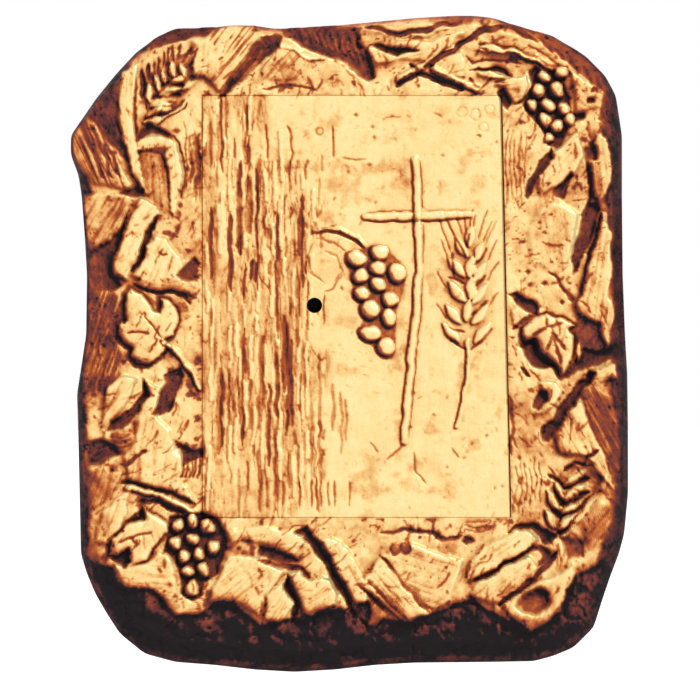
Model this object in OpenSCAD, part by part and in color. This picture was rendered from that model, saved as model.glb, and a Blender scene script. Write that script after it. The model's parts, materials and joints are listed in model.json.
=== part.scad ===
// Wall tabernacle in cast bronze. A rough-hewn relief surround frames a flush relief door,
// which hangs on two concealed pivot pins and is locked by a rack-driven bolt.
// Behind the surround a steel box with a gilt liner is built into the wall.
// Origin: centre of the doorway on the wall plane. +Y runs into the wall and +Z is up.

/* [Surround] */
// Distance from the wall plane to the flat plane of the relief
front_depth = 30; // [29:1:32]
// Distance from the wall plane to the widest ring of the rim
belly_depth = 10; // [8:1:12]
// Radial step from the widest ring in to the edge on the wall
back_step = 3.5; // [2:0.5:5]
// Radial step from the widest ring in to the edge of the relief plane
front_step = 9; // [6:1:11]
// Extra rise of the relief plane's edge along the sloping bottom
bottom_slope = 26; // [18:1:30]
// Thickness of the casting left in front of its hollow back
skin = 7; // [6:0.5:8]
// Thickness of the wall that lines the doorway
reveal_wall = 8; // [7:0.5:9]
// Depth of the hollows cut between the stones, grapes and sticks
gouge_depth = 4; // [2:0.5:4.5]

/* [Door] */
// Thickness of the door casting
door_t = 12; // [12:0.5:13]
// Left edge of the door
door_left = -98.5; // [-99:0.1:-98]
// Top edge of the door
door_top = 137; // [136.5:0.1:137]
// Bottom edge of the door
door_bottom = -136.5; // [-137:0.1:-136]
// Right edge of the door at its top corner
door_right_top = 95.5; // [95:0.1:96]
// Right edge of the door at its bottom corner
door_right_bottom = 101.5; // [101:0.1:102]
// Seam between door and surround at the left, the top and the bottom
seam = 0.9; // [0.8:0.1:1]
// Seam between door and surround on the hinge side
hinge_seam = 1; // [1:0.1:1.2]
// Bevel on the hinge-side front edge, which clears the surround as the door swings
swing_bevel = 2.5; // [2.5:0.1:3]
// Thickness of the gilt plate on the back of the door
back_plate_t = 1.2; // [1:0.1:1.5]

/* [Pivots] */
// Pivot axis, measured from the middle of the doorway
hinge_x = 86.5; // [86:0.1:87]
// Diameter of the pivot pins
pivot_d = 6; // [5.5:0.1:6]
// Outer diameter of the pivot bushes
bush_d = 10; // [9.5:0.1:10.5]
// Radial running clearance of the pins in their bushes
running_gap = 0.05; // [0.03:0.01:0.08]

/* [Wall box] */
// Outer width of the steel box
box_w = 216; // [214:1:216]
// Outer height of the steel box
box_h = 290; // [288:1:290]
// Depth of the steel box, from the subframe to its back
box_depth = 180; // [150:5:220]
// Sheet thickness of the steel box
box_t = 3; // [2:0.5:3]
// Sheet thickness of the gilt liner
liner_t = 1; // [0.8:0.1:1.5]
// Diameter of the four anchor holes in the back
anchor_d = 9; // [7:0.5:11]
// Width between the anchor holes
anchor_w = 120; // [80:5:150]
// Height between the anchor holes
anchor_h = 200; // [120:5:220]

/* [Lock] */
// Keyhole centre across the door
key_x = -26; // [-27:0.5:-25]
// Keyhole centre up the door
key_z = 1; // [0:0.5:2]
// Diameter of the keyhole in the door
keyhole_d = 10; // [9:0.5:10.5]
// Teeth on the plug's pinion
pinion_teeth = 14; // [14:1:14]
// Gear module of the pinion and the bolt's rack
gear_module = 1; // [1:0.1:1]
// Thickness of the lock bolt
bolt_t = 7.5; // [7:0.5:7.5]
// Wall thickness of the lock case
case_t = 2; // [1.5:0.5:2]

/* [Hidden] */
$fn = 48;
slip = 0.02;      // radial gap of a screw or stud in its hole
over = 1;         // how far a cutter runs past the face that it opens
height_step = 0.07; // each relief shape is this much higher than the one before it

// The Y planes of the stack, from the front backwards
front_y = -front_depth;
door_rear_y = front_y + door_t;
plate_rear_y = door_rear_y + back_plate_t;
lock_plate_t = 2.5;
lock_plate_rear_y = plate_rear_y + lock_plate_t;
ring_front_y = door_rear_y + 4;
ring_t = 6;
ring_rear_y = ring_front_y + ring_t;
hinge_y = front_y + door_t / 2;
box_back_y = ring_rear_y + box_depth;
liner_front_y = 8;

// Doorway of the surround
way_left = door_left - seam;
way_top = door_top + seam;
way_bottom = door_bottom - hinge_seam;

// Outer edge of the surround at its widest, clockwise from the top left, as [x, z]
outline = [
    [-129.5, 175.5], [-117, 181.5], [-91, 182.5], [-78, 184], [-65, 183.5], [-52, 181.5],
    [-39, 182], [-13, 183.5], [13, 186], [39, 188.5], [65, 190], [78, 190], [91, 188.5],
    [104, 184], [117, 180], [129, 177], [150.5, 164], [163.5, 151], [170.5, 138], [174.5, 112],
    [174.5, 73], [175, 21], [176.5, -18], [178, -44], [178.5, -83], [178.5, -122], [176, -148],
    [172.5, -161], [167.5, -174], [163, -187], [156, -209], [143, -222], [130, -227.5],
    [117, -231], [91, -231.5], [39, -232], [13, -233.5], [-13, -236.5], [-39, -238],
    [-65, -236.5], [-91, -233.5], [-117, -231.5], [-137, -226], [-153, -213], [-161.5, -200],
    [-169, -187], [-174.5, -174], [-178.5, -161], [-179, -135], [-180.5, -70], [-181, -57],
    [-179, -44], [-175, -18], [-174.5, 21], [-176, 47], [-178, 73], [-180, 86], [-185, 99],
    [-185, 112], [-176, 125], [-168.5, 136], [-155.5, 152], [-142.5, 166]];

// Raised stones of the surround, each [height above the relief plane, corners inside its edge]
stones = [
    [5, [[-101, 166], [-86, 168], [-68, 168.5], [-63, 166], [-82, 146], [-95, 150], [-106, 157]]],
    [4, [[-172, 112], [-168, 120], [-158, 108], [-152, 98], [-142, 78], [-166, 82], [-171, 98]]],
    [6, [[-142, 112], [-128, 116], [-112, 100], [-114, 62], [-128, 58], [-140, 80]]],
    [7, [[-157, 24], [-146, 60], [-138, 70], [-128, 62], [-134, 44], [-145, 24], [-150, 16]]],
    [5, [[-132, 46], [-118, 40], [-108, 22], [-104, 14], [-118, 10], [-140, 18], [-134, 36]]],
    [6, [[-150, -32], [-140, -40], [-150, -76], [-163, -82], [-164, -74], [-158, -50]]],
    [6, [[-135, -42], [-120, -44], [-132, -74], [-128, -92], [-138, -96], [-142, -70]]],
    [5, [[-148, -100], [-122, -92], [-108, -112], [-104, -124], [-147, -116]]],
    [5, [[-150, -120], [-162, -134], [-166, -152], [-160, -158], [-156, -148], [-148, -138]]],
    [5, [[-156, -164], [-130, -160], [-118, -170], [-116, -182], [-118, -196], [-130, -184],
         [-148, -180]]],
    [4, [[-84, -143], [-40, -150], [-30, -150], [-40, -160], [-62, -154], [-84, -150]]],
    [5, [[-88, -176], [-80, -160], [-60, -166], [-38, -174], [-55, -188], [-75, -194],
         [-96, -196]]],
    [7, [[-36, -178], [-24, -176], [-12, -184], [-12, -192], [-20, -198], [-32, -198],
         [-37, -188]]],
    [6, [[-26, -150], [-14, -152], [22, -176], [46, -197], [30, -201], [0, -176],
         [-16, -160]]],
    [4, [[22, -162], [60, -158], [68, -178], [75, -188], [60, -192], [48, -194], [30, -176]]],
    [7, [[72, -178], [84, -160], [104, -148], [114, -147], [118, -152], [112, -158],
         [92, -168]]],
    [5, [[98, -194], [122, -176], [142, -172], [143, -178], [130, -196], [112, -200]]],
    [6, [[161, 58], [150, 25], [144, 8], [152, -10], [162, -28], [166, -24], [166, 0],
         [165, 40]]],
    [5, [[156, 110], [163, 105], [164, 80], [158, 67], [152, 82]]],
    [4, [[108, 70], [124, 92], [140, 88], [132, 72], [146, 60], [140, 20], [128, 28],
         [112, 30]]],
    [5, [[138, 104], [146, 114], [150, 92], [151, 72], [142, 86]]],
    [5, [[136, -46], [155, -40], [166, -38], [167, -47], [150, -49], [138, -60], [124, -80],
         [120, -72], [130, -56]]],
    [5, [[146, -60], [152, -76], [164, -100], [158, -112], [140, -84], [134, -76]]],
    [4, [[4, 166], [20, 174], [60, 177], [88, 175], [60, 164], [44, 158], [20, 158]]],
    [5, [[84, 168], [100, 166], [130, 153], [124, 150], [104, 160], [84, 163]]]];

// Hollows cut into the relief plane, each a list of corners
gouges = [
    [[-48, 170], [-30, 172], [0, 172], [12, 158], [13, 149], [8, 148], [-10, 158], [-30, 166]],
    [[112, 134], [118, 150], [128, 156], [139, 152], [143, 136], [144, 124], [134, 106],
     [124, 106], [116, 122]],
    [[-122, -140], [-112, -139], [-101, -139], [-90, -141], [-84, -150], [-82, -160],
     [-92, -174], [-98, -186], [-106, -191], [-113, -184], [-114, -170], [-122, -158]],
    [[150, 66], [156, 66], [158, 54], [150, 28], [143, 26], [146, 50]],
    [[124, -72], [138, -62], [150, -46], [142, -46], [128, -62]],
    [[-42, -178], [-38, -190], [-40, -198], [-45, -196]]];

// Grapes, each [x, z, radius]
surround_grapes = [
    [124, 149, 4.2], [133, 151, 3.8], [119, 138, 4.2], [131, 140, 4.6], [115, 130, 4.4],
    [126, 131, 4.2], [136, 128, 4.6], [124, 121, 4.2], [132, 117, 4.2], [140, 121.5, 3.6],
    [127, 110, 3.6], [-115, -143, 4.2], [-105.5, -139, 4.2], [-96, -143, 4.8],
    [-106, -150.5, 4.2], [-117, -153, 4.6], [-92, -156, 4.2], [-111, -162, 4.2],
    [-101, -160, 4.2], [-108, -171, 4.2], [-98, -172, 4.2], [-106, -183, 4.6]];
door_grapes = [
    [1, 31, 6.5], [16, 35, 6], [15, 25, 5.5], [28, 22, 6.5], [4, 20, 5.8], [15, 14, 5.5],
    [4, 8, 5.5], [23, 5, 5.5], [10, -2, 6], [22, -7, 5.5], [10, -17, 6.5], [20, -26, 6.5]];

// Wheat grains, each [x, z, lean to the right in degrees, length, width]
surround_grains = [
    [-131, 124, -20, 11, 5], [-128, 132, -20, 11, 5], [-123, 139, -25, 11, 5],
    [-117, 147, -30, 11, 5], [-112, 154, -35, 11, 5], [-121, 127, 60, 11, 5],
    [-115, 134, 60, 11, 5], [-108, 142, 55, 11, 5],
    [145, -108, 45, 14, 6], [144, -117, 50, 15, 6], [143, -125, 50, 15, 6],
    [141, -133, 50, 14, 6], [138, -142, 45, 12, 6], [133, -116, -25, 14, 6],
    [130, -127, -25, 14, 6], [127, -138, -25, 13, 6]];
door_grains = [
    [83, -16, 40, 16, 7], [64, -16, -40, 16, 7], [82, -4, 35, 16, 7], [65, -4, -35, 16, 7],
    [81, 9, 30, 16, 7], [66, 10, -30, 18, 9], [82, 23, 28, 16, 7], [66, 26, -20, 16, 7],
    [84, 36, 20, 15, 6], [70, 38, -12, 15, 6], [76, 46, 8, 15, 6]];

// Leaves of the surround as outlines, and the vines that carry them as centre lines
leaves = [
    [[-149, 6], [-144, 12], [-137, 7], [-131, -2], [-127, -5], [-126, 6], [-118, 0],
     [-114, -8], [-118, -18], [-126, -20], [-127, -25], [-130, -33], [-140, -36],
     [-146, -28], [-154, -18], [-154, -10], [-149, -8]],
    [[-138, -129], [-130, -135], [-121, -139], [-121, -146], [-128, -150], [-134, -162],
     [-142, -168], [-147, -166], [-147, -158], [-151, -161], [-159, -158], [-157, -150],
     [-152, -142], [-137, -140]],
    [[110, -20], [116, -8], [124, -4], [136, -4], [142, -12], [144, -20], [140, -34],
     [136, -44], [130, -38], [122, -33], [118, -30], [119, -22]]];
surround_vines = [
    [[-128, -19], [-114, -26], [-106, -36], [-102, -48]],
    [[-147, -118], [-126, -123], [-108, -132]],
    [[30, 145], [46, 152], [58, 160], [72, 168]],
    [[40, 155], [52, 150], [68, 145]],
    [[76, 155], [90, 157], [101, 150]],
    [[124, -160], [116, -172], [98, -190]]];
door_vines = [
    [[-26, 49], [-10, 46], [2, 42], [6, 38]],
    [[74, 44], [75, 10], [74, -27], [74, -45], [71, -60], [66, -75]],
    [[31, -88], [28, -93], [22, -98]]];
cross_post = [[39, 95], [41, 60], [41.8, 25], [40.5, 0], [37, -30], [35, -55], [32.5, -86]];
cross_arm = [[7, 58.5], [41, 59], [75, 60]];

// A point moved towards the middle by a radial step, and up by a share of rise near the bottom
slope_top = -150;
slope_height = 88;
function drawn_in(p, step, rise) =
    let (r = norm(p), low = max(0, slope_top - p[1]) / slope_height)
    [p[0] * (r - step) / r, p[1] * (r - step) / r + rise * low];
function ring(step, rise, y) =
    [for (p = outline) let (q = drawn_in(p, step, rise)) [q[0], y, q[1]]];

// A flat shape given as [x, z] corners, extruded from the plane y_front back to y_rear
module slab(corners, y_front, y_rear) {
    translate([0, y_rear, 0]) rotate([90, 0, 0])
        linear_extrude(y_rear - y_front) polygon(corners);
}

// A cylinder along Y between two planes
module rod_y(x, z, r, y_front, y_rear) {
    translate([x, y_rear, z]) rotate([90, 0, 0]) cylinder(h = y_rear - y_front, r = r);
}

// A block between two corners
module block(low, high) {
    translate(low) cube(high - low);
}

// A raised bead that follows a line of [x, z] points
module bead(points, width, y_front, y_rear) {
    knuckle_r = width / 2 + 0.15;
    for (i = [0 : len(points) - 2]) {
        a = points[i];
        b = points[i + 1];
        rod_y(a[0], a[1], knuckle_r, y_front, y_rear);
        translate([a[0], y_front, a[1]])
            rotate([0, -atan2(b[1] - a[1], b[0] - a[0]), 0])
                translate([0, 0, -width / 2]) cube([norm(b - a), y_rear - y_front, width]);
    }
    last = points[len(points) - 1];
    rod_y(last[0], last[1], knuckle_r, y_front, y_rear);
}

// A wheat grain: a spindle half sunk into the plane y
module grain(g, y) {
    half = g[3] / 2;
    girth = g[4] / 2;
    translate([g[0], y, g[1]]) rotate([0, g[2], 0]) rotate_extrude($fn = 24)
        polygon([[0, -half], [girth * 0.6, -half * 0.6], [girth, -half * 0.1],
                 [girth * 0.8, half * 0.4], [0, half]]);
}

// Grapes: turned beads with their widest ring on the plane y and their stalk end sunk behind it
module grapes(list, y) {
    root = 3.5;
    for (g = list) translate([g[0], y, g[1]]) rotate([90, 0, 0]) rotate_extrude($fn = 32)
        polygon([[0, -root], [g[2] * 0.85, -root], [g[2], 0], [g[2] * 0.87, g[2] * 0.5],
                 [g[2] * 0.5, g[2] * 0.87], [0, g[2]]]);
}

// The doorway, grown outwards by a margin
module doorway(margin, y_front, y_rear) {
    slab([[way_left - margin, way_bottom - margin],
          [door_right_bottom + hinge_seam + margin, way_bottom - margin],
          [door_right_top + hinge_seam + margin, way_top + margin],
          [way_left - margin, way_top + margin]], y_front, y_rear);
}

// ---- surround ------------------------------------------------------------------------------

studs = [[-117, 95], [117, 95], [-117, -95], [117, -95], [0, 153], [0, -153]];
stud_r = 3;
boss_r = 7;
bush_len = 12;
hollow_y = front_y + skin;

// The bare casting: three rings joined by a skin of triangles
module rough_blank() {
    n = len(outline);
    points = concat(ring(back_step, 0, 0), ring(0, 0, -belly_depth),
                    ring(front_step, bottom_slope, front_y));
    sides = [for (layer = [0, 1], i = [0 : n - 1])
        let (a = layer * n + i, b = layer * n + (i + 1) % n)
        each [[a, b + n, a + n], [a, b, b + n]]];
    caps = [[for (i = [n - 1 : -1 : 0]) i], [for (i = [0 : n - 1]) 2 * n + i]];
    polyhedron(points = points, faces = concat(sides, caps));
}

// The open back, with its reveal wall, stud bosses and pivot blocks left standing
module hollow_back() {
    difference() {
        slab([for (p = outline) drawn_in(p, front_step + 4, bottom_slope)], hollow_y, over);
        doorway(reveal_wall, front_y, ring_front_y);
        for (s = studs) rod_y(s[0], s[1], boss_r, hollow_y - over, ring_front_y);
        for (z = [way_bottom - bush_len - 3, way_top])
            block([hinge_x - 9, front_y, z], [hinge_x + 9, ring_front_y, z + bush_len + 3]);
    }
}

module surround_casting() {
    bush_r = bush_d / 2 + slip;
    leaf_h = 5.5;
    vine_h = 3.3;
    color("peru") difference() {
        union() {
            difference() {
                rough_blank();
                hollow_back();
                for (g = gouges) slab(g, front_y - over, front_y + gouge_depth);
            }
            for (i = [0 : len(stones) - 1])
                slab(stones[i][1], front_y - stones[i][0] - i * height_step, front_y + 2);
            for (i = [0 : len(leaves) - 1])
                slab(leaves[i], front_y - leaf_h - i * height_step, front_y + 1.9);
            for (i = [0 : len(surround_vines) - 1])
                bead(surround_vines[i], 4, front_y - vine_h - i * height_step, front_y + 1.8);
            grapes(surround_grapes, front_y + 1);
            for (g = surround_grains) grain(g, front_y - 1);
        }
        doorway(0, front_y - 20, over);
        for (s = studs) rod_y(s[0], s[1], stud_r + slip, hollow_y, ring_front_y + over);
        translate([hinge_x, hinge_y, way_top - over]) cylinder(h = bush_len + over, r = bush_r);
        translate([hinge_x, hinge_y, way_bottom - bush_len])
            cylinder(h = bush_len + over, r = bush_r);
    }
}

// ---- subframe, box and liner ---------------------------------------------------------------

ring_w = 125;       // half width of the subframe
ring_h = 162;       // half height of the subframe
lip_left = -93;     // edge of the lip that the door closes against
lip_z = 131;
swing_x = 70;       // from here to the right the lip steps back for the door's swinging edge
swing_z = 139.5;
box_in_w = box_w / 2 - box_t;
box_in_h = box_h / 2 - box_t;

module subframe_ring() {
    corner = 10;
    color("dimgray") difference() {
        slab([[-ring_w + corner, -ring_h], [ring_w - corner, -ring_h], [ring_w, -ring_h + corner],
              [ring_w, ring_h - corner], [ring_w - corner, ring_h], [-ring_w + corner, ring_h],
              [-ring_w, ring_h - corner], [-ring_w, -ring_h + corner]],
             ring_front_y, ring_rear_y);
        slab([[lip_left, -lip_z], [swing_x, -lip_z], [swing_x, -swing_z], [box_in_w, -swing_z],
              [box_in_w, swing_z], [swing_x, swing_z], [swing_x, lip_z], [lip_left, lip_z]],
             ring_front_y - over, ring_rear_y + over);
        for (s = studs)
            rod_y(s[0], s[1], stud_r + 0.3, ring_front_y - over, ring_rear_y + over);
        for (z = strike_screw_z)
            rod_y(strike_screw_x, z, small_screw_r + slip, ring_front_y + 1, ring_rear_y + over);
    }
}

// Four holes on the anchor rectangle
module anchor_holes(y_front, y_rear) {
    for (x = [-anchor_w / 2, anchor_w / 2], z = [-anchor_h / 2, anchor_h / 2])
        rod_y(x, z, anchor_d / 2, y_front, y_rear);
}

module box_shell() {
    color("slategray") difference() {
        block([-box_w / 2, ring_rear_y, -box_h / 2], [box_w / 2, box_back_y, box_h / 2]);
        block([-box_in_w, ring_rear_y - over, -box_in_h], [box_in_w, box_back_y - box_t, box_in_h]);
        anchor_holes(box_back_y - box_t - over, box_back_y + over);
    }
}

module inner_liner() {
    gap = 0.5;
    w = box_in_w - gap;
    h = box_in_h - gap;
    back_y = box_back_y - box_t;
    color("gold") difference() {
        block([-w, liner_front_y, -h], [w, back_y, h]);
        block([-w + liner_t, liner_front_y - over, -h + liner_t],
              [w - liner_t, back_y - liner_t, h - liner_t]);
        anchor_holes(back_y - liner_t - over, back_y + over);
    }
}

// ---- pivots --------------------------------------------------------------------------------

module pivot_bush(z) {
    color("darkgoldenrod") translate([hinge_x, hinge_y, z]) difference() {
        cylinder(h = bush_len, r = bush_d / 2);
        translate([0, 0, -over])
            cylinder(h = bush_len + 2 * over, r = pivot_d / 2 + running_gap);
    }
}

module upper_pivot_bush() {
    pivot_bush(way_top);
}

module lower_pivot_bush() {
    pivot_bush(way_bottom - bush_len);
}

module thrust_washer() {
    washer_t = hinge_seam - 0.1;
    color("darkgoldenrod") translate([hinge_x, hinge_y, way_bottom]) difference() {
        cylinder(h = washer_t, r = bush_d / 2);
        translate([0, 0, -over]) cylinder(h = washer_t + 2 * over, r = pivot_d / 2 + running_gap);
    }
}

pin_len = 26;
pin_in_bush = 10;
pin_pocket = 20;    // depth of the pin holes in the door, which lets the upper pin drop back

module upper_pivot_pin() {
    color("silver") translate([hinge_x, hinge_y, way_top + pin_in_bush - pin_len])
        cylinder(h = pin_len, r = pivot_d / 2);
}

module lower_pivot_pin() {
    color("silver") translate([hinge_x, hinge_y, way_bottom - pin_in_bush])
        cylinder(h = pin_len, r = pivot_d / 2);
}

grub_r = 2;
grub_z = [door_top - 8, door_bottom + 8];

module pivot_grub_screws() {
    socket_r = 1;
    color("dimgray") for (z = grub_z) difference() {
        rod_y(hinge_x, z, grub_r, hinge_y + pivot_d / 2, door_rear_y - 0.2);
        rod_y(hinge_x, z, socket_r, door_rear_y - 1.8, door_rear_y + over, $fn = 6);
    }
}

// ---- fasteners of the surround, strike and stop pads ---------------------------------------

washer_t = 1.6;
nut_t = 5;
nut_flats = 10;
small_screw_r = 1.5;
strike_t = 1.5;
strike_screw_x = -99;
strike_screw_z = [14, -26];

module surround_studs() {
    color("silver") for (s = studs)
        rod_y(s[0], s[1], stud_r, hollow_y + 1, ring_rear_y + washer_t + nut_t + 0.9);
}

module stud_washers() {
    color("silver") for (s = studs) difference() {
        rod_y(s[0], s[1], 6, ring_rear_y, ring_rear_y + washer_t);
        rod_y(s[0], s[1], stud_r + 0.2, ring_rear_y - over, ring_rear_y + washer_t + over);
    }
}

module stud_nuts() {
    nut_y = ring_rear_y + washer_t;
    color("silver") for (s = studs) difference() {
        rod_y(s[0], s[1], nut_flats / 2 / cos(30), nut_y, nut_y + nut_t, $fn = 6);
        rod_y(s[0], s[1], stud_r + slip, nut_y - over, nut_y + nut_t + over);
    }
}

module strike_plate() {
    color("silver") difference() {
        block([-104.5, ring_rear_y, -32], [lip_left, ring_rear_y + strike_t, 20]);
        for (z = strike_screw_z)
            rod_y(strike_screw_x, z, small_screw_r + slip, ring_rear_y - over,
                  ring_rear_y + strike_t + over);
    }
}

// A slotted cheese-head screw whose head sits on the plane y, with its shank running forward
module screw(x, z, y, shank_len, shank_r, head_r, head_h) {
    difference() {
        union() {
            rod_y(x, z, shank_r, y - shank_len, y);
            rod_y(x, z, head_r, y, y + head_h);
        }
        block([x - head_r - over, y + head_h * 0.55, z - 0.4],
              [x + head_r + over, y + head_h + over, z + 0.4]);
    }
}

module strike_screws() {
    color("silver") for (z = strike_screw_z)
        screw(strike_screw_x, z, ring_rear_y + strike_t, 6, small_screw_r, 2.8, 1.6);
}

module stop_pads() {
    pad_front_y = door_rear_y + 0.2;
    color("darkred") {
        block([-97.8, pad_front_y, -118], [-93.8, ring_front_y, 118]);
        for (z = [lip_z + 0.6, -lip_z - 4.6])
            block([-90, pad_front_y, z], [66, ring_front_y, z + 4]);
    }
}

// ---- door ----------------------------------------------------------------------------------

lock_screw_r = 2;
lock_screws = [[-84, 26], [-2, 26], [-84, -28], [-2, -28]];
plate_screws = [[-84, 121], [-6, 121], [72, 121], [-84, -121], [-6, -121], [72, -121], [72, 0]];

module door_blank() {
    slant = atan2(door_right_bottom - door_right_top, door_top - door_bottom);
    difference() {
        slab([[door_left, door_bottom], [door_right_bottom, door_bottom],
              [door_right_top, door_top], [door_left, door_top]], front_y, door_rear_y);
        translate([(door_right_top + door_right_bottom) / 2, front_y, 0])
            rotate([0, -slant, 0]) rotate([0, 0, 45])
                cube([swing_bevel * sqrt(2), swing_bevel * sqrt(2), 320], center = true);
    }
}

module door_casting() {
    bead_h = 2.5;
    color("burlywood") difference() {
        union() {
            door_blank();
            bead(cross_post, 4.4, front_y - bead_h, front_y + 1);
            bead(cross_arm, 4.4, front_y - bead_h - height_step, front_y + 1.1);
            for (i = [0 : len(door_vines) - 1])
                bead(door_vines[i], 3, front_y - 1.8 - i * height_step, front_y + 1.2);
            grapes(door_grapes, front_y + 2);
            for (g = door_grains) grain(g, front_y + 1);
        }
        rod_y(key_x, key_z, keyhole_d / 2, front_y - 20, door_rear_y + over);
        translate([hinge_x, hinge_y, door_top - pin_pocket])
            cylinder(h = pin_pocket + over, r = pivot_d / 2 + slip);
        translate([hinge_x, hinge_y, door_bottom - over])
            cylinder(h = pin_pocket + over, r = pivot_d / 2 + slip);
        for (z = grub_z) rod_y(hinge_x, z, grub_r + slip, hinge_y, door_rear_y + over);
        for (s = lock_screws) rod_y(s[0], s[1], lock_screw_r + slip, -25, door_rear_y + over);
        for (s = plate_screws) rod_y(s[0], s[1], small_screw_r + slip, -24, door_rear_y + over);
    }
}

module door_back_plate() {
    hole_r = 6.5;
    y_front = door_rear_y - over;
    y_rear = plate_rear_y + over;
    color("gold") difference() {
        block([-90, door_rear_y, -127], [78, plate_rear_y, 127]);
        rod_y(key_x, key_z, hole_r, y_front, y_rear);
        for (s = lock_screws) rod_y(s[0], s[1], lock_screw_r + slip, y_front, y_rear);
        for (s = plate_screws) rod_y(s[0], s[1], small_screw_r + slip, y_front, y_rear);
        for (s = case_screws) rod_y(s[0], s[1], small_screw_r + slip, y_front, y_rear);
    }
}

module back_plate_screws() {
    color("gold") for (s = plate_screws)
        screw(s[0], s[1], plate_rear_y, 6.5, small_screw_r, 2.8, 1.4);
}

// ---- lock ----------------------------------------------------------------------------------

bolt_front_y = ring_rear_y + strike_t + 0.3;
bolt_rear_y = bolt_front_y + bolt_t;
case_rear_y = bolt_rear_y + 0.7 + case_t;
barrel_rear_y = bolt_front_y - 1.1;
case_screws = [[-62, 26], [-24, 26], [-62, -28], [-24, -28]];
guide_pins = [[-74, -6], [-36, -12]];
guide_r = 2.5;
journal_r = 4;
plug_r = 6;
pinion_front_y = bolt_front_y + 0.2;
pinion_rear_y = bolt_rear_y - 0.3;

module lock_plate() {
    y_front = plate_rear_y - over;
    y_rear = lock_plate_rear_y + over;
    color("khaki") difference() {
        block([-89, plate_rear_y, -31], [3, lock_plate_rear_y, 29]);
        rod_y(key_x, key_z, 6.5, y_front, y_rear);
        for (s = lock_screws) rod_y(s[0], s[1], lock_screw_r + slip, y_front, y_rear);
        for (s = case_screws) rod_y(s[0], s[1], small_screw_r + slip, y_front, y_rear);
    }
}

module lock_plate_screws() {
    color("khaki") for (s = lock_screws)
        screw(s[0], s[1], lock_plate_rear_y, 9, lock_screw_r, 2.9, 2.2);
}

// The case: a shallow pan with its mouth on the lock plate and four screw tabs
module lock_case() {
    low = [-87, lock_plate_rear_y, -25];
    high = [-3, case_rear_y, 23];
    tab_t = 2;
    wall = [case_t, 0, case_t];
    color("lightsteelblue") difference() {
        union() {
            difference() {
                block(low, high);
                block(low + wall - [0, over, 0], high - wall - [0, case_t, 0]);
            }
            for (s = case_screws) {
                z_low = s[1] > 0 ? high[2] : low[2] - 6;
                block([s[0] - 5, lock_plate_rear_y, z_low],
                      [s[0] + 5, lock_plate_rear_y + tab_t, z_low + 6]);
            }
        }
        block([low[0] - over, bolt_front_y - 0.2, bolt_low_z - 0.2],
              [low[0] + case_t + over, bolt_rear_y + 0.2, bolt_high_z + 0.2]);
        rod_y(key_x, key_z, journal_r + running_gap, case_rear_y - case_t - over,
              case_rear_y + over);
        for (s = case_screws)
            rod_y(s[0], s[1], small_screw_r + slip, lock_plate_rear_y - over,
                  lock_plate_rear_y + tab_t + over);
    }
}

module lock_case_screws() {
    color("silver") for (s = case_screws)
        screw(s[0], s[1], lock_plate_rear_y + 2, 5.6, small_screw_r, 2.6, 1.6);
}

module lock_barrel() {
    barrel_r = 9;
    color("khaki") difference() {
        rod_y(key_x, key_z, barrel_r, lock_plate_rear_y, barrel_rear_y);
        rod_y(key_x, key_z, plug_r + running_gap, lock_plate_rear_y - over,
              barrel_rear_y + over);
    }
}

module bolt_guide_pins() {
    collar_r = 4;
    color("silver") for (g = guide_pins) {
        rod_y(g[0], g[1], collar_r, lock_plate_rear_y, bolt_front_y - 0.3);
        rod_y(g[0], g[1], guide_r, bolt_front_y - 0.3, case_rear_y - case_t);
    }
}

// Gear geometry shared by the pinion and the rack
pressure_angle = 20;
addendum = 0.8 * gear_module;
dedendum = 1.05 * gear_module;
backlash = 0.35;
pitch_r = pinion_teeth * gear_module / 2;
base_r = pitch_r * cos(pressure_angle);
tooth_pitch = PI * gear_module;
bolt_low_z = -16;
bolt_high_z = 4;
bolt_tip_x = -90;
head_end_x = -42;
tail_end_x = -9.5;
bolt_travel = 11.5;

// Angle in degrees that the involute has unrolled at radius r
function involute(r) =
    let (a = acos(base_r / r)) tan(a) * 180 / PI - a;
// Half the angle that a pinion tooth spans at radius r
function half_tooth(r) =
    let (at_pitch = (tooth_pitch / 2 - backlash / 2) / pitch_r * 90 / PI)
    at_pitch + involute(pitch_r) - involute(max(r, base_r));
function polar(r, a) = [r * cos(a), r * sin(a)];

module plug_pinion() {
    root_r = pitch_r - dedendum;
    tip_r = pitch_r + addendum;
    radii = [root_r, base_r, pitch_r, (pitch_r + tip_r) / 2, tip_r];
    flank = len(radii) - 1;
    profile = [for (t = [0 : pinion_teeth - 1])
        let (mid = -90 + t * 360 / pinion_teeth)
        each concat([for (i = [0 : flank]) polar(radii[i], mid - half_tooth(radii[i]))],
                    [for (i = [flank : -1 : 0]) polar(radii[i], mid + half_tooth(radii[i]))])];
    color("goldenrod") difference() {
        translate([key_x, pinion_rear_y, key_z]) rotate([90, 0, 0])
            linear_extrude(pinion_rear_y - pinion_front_y) polygon(profile);
        rod_y(key_x, key_z, journal_r + slip, pinion_front_y - over, pinion_rear_y + over);
    }
}

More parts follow.
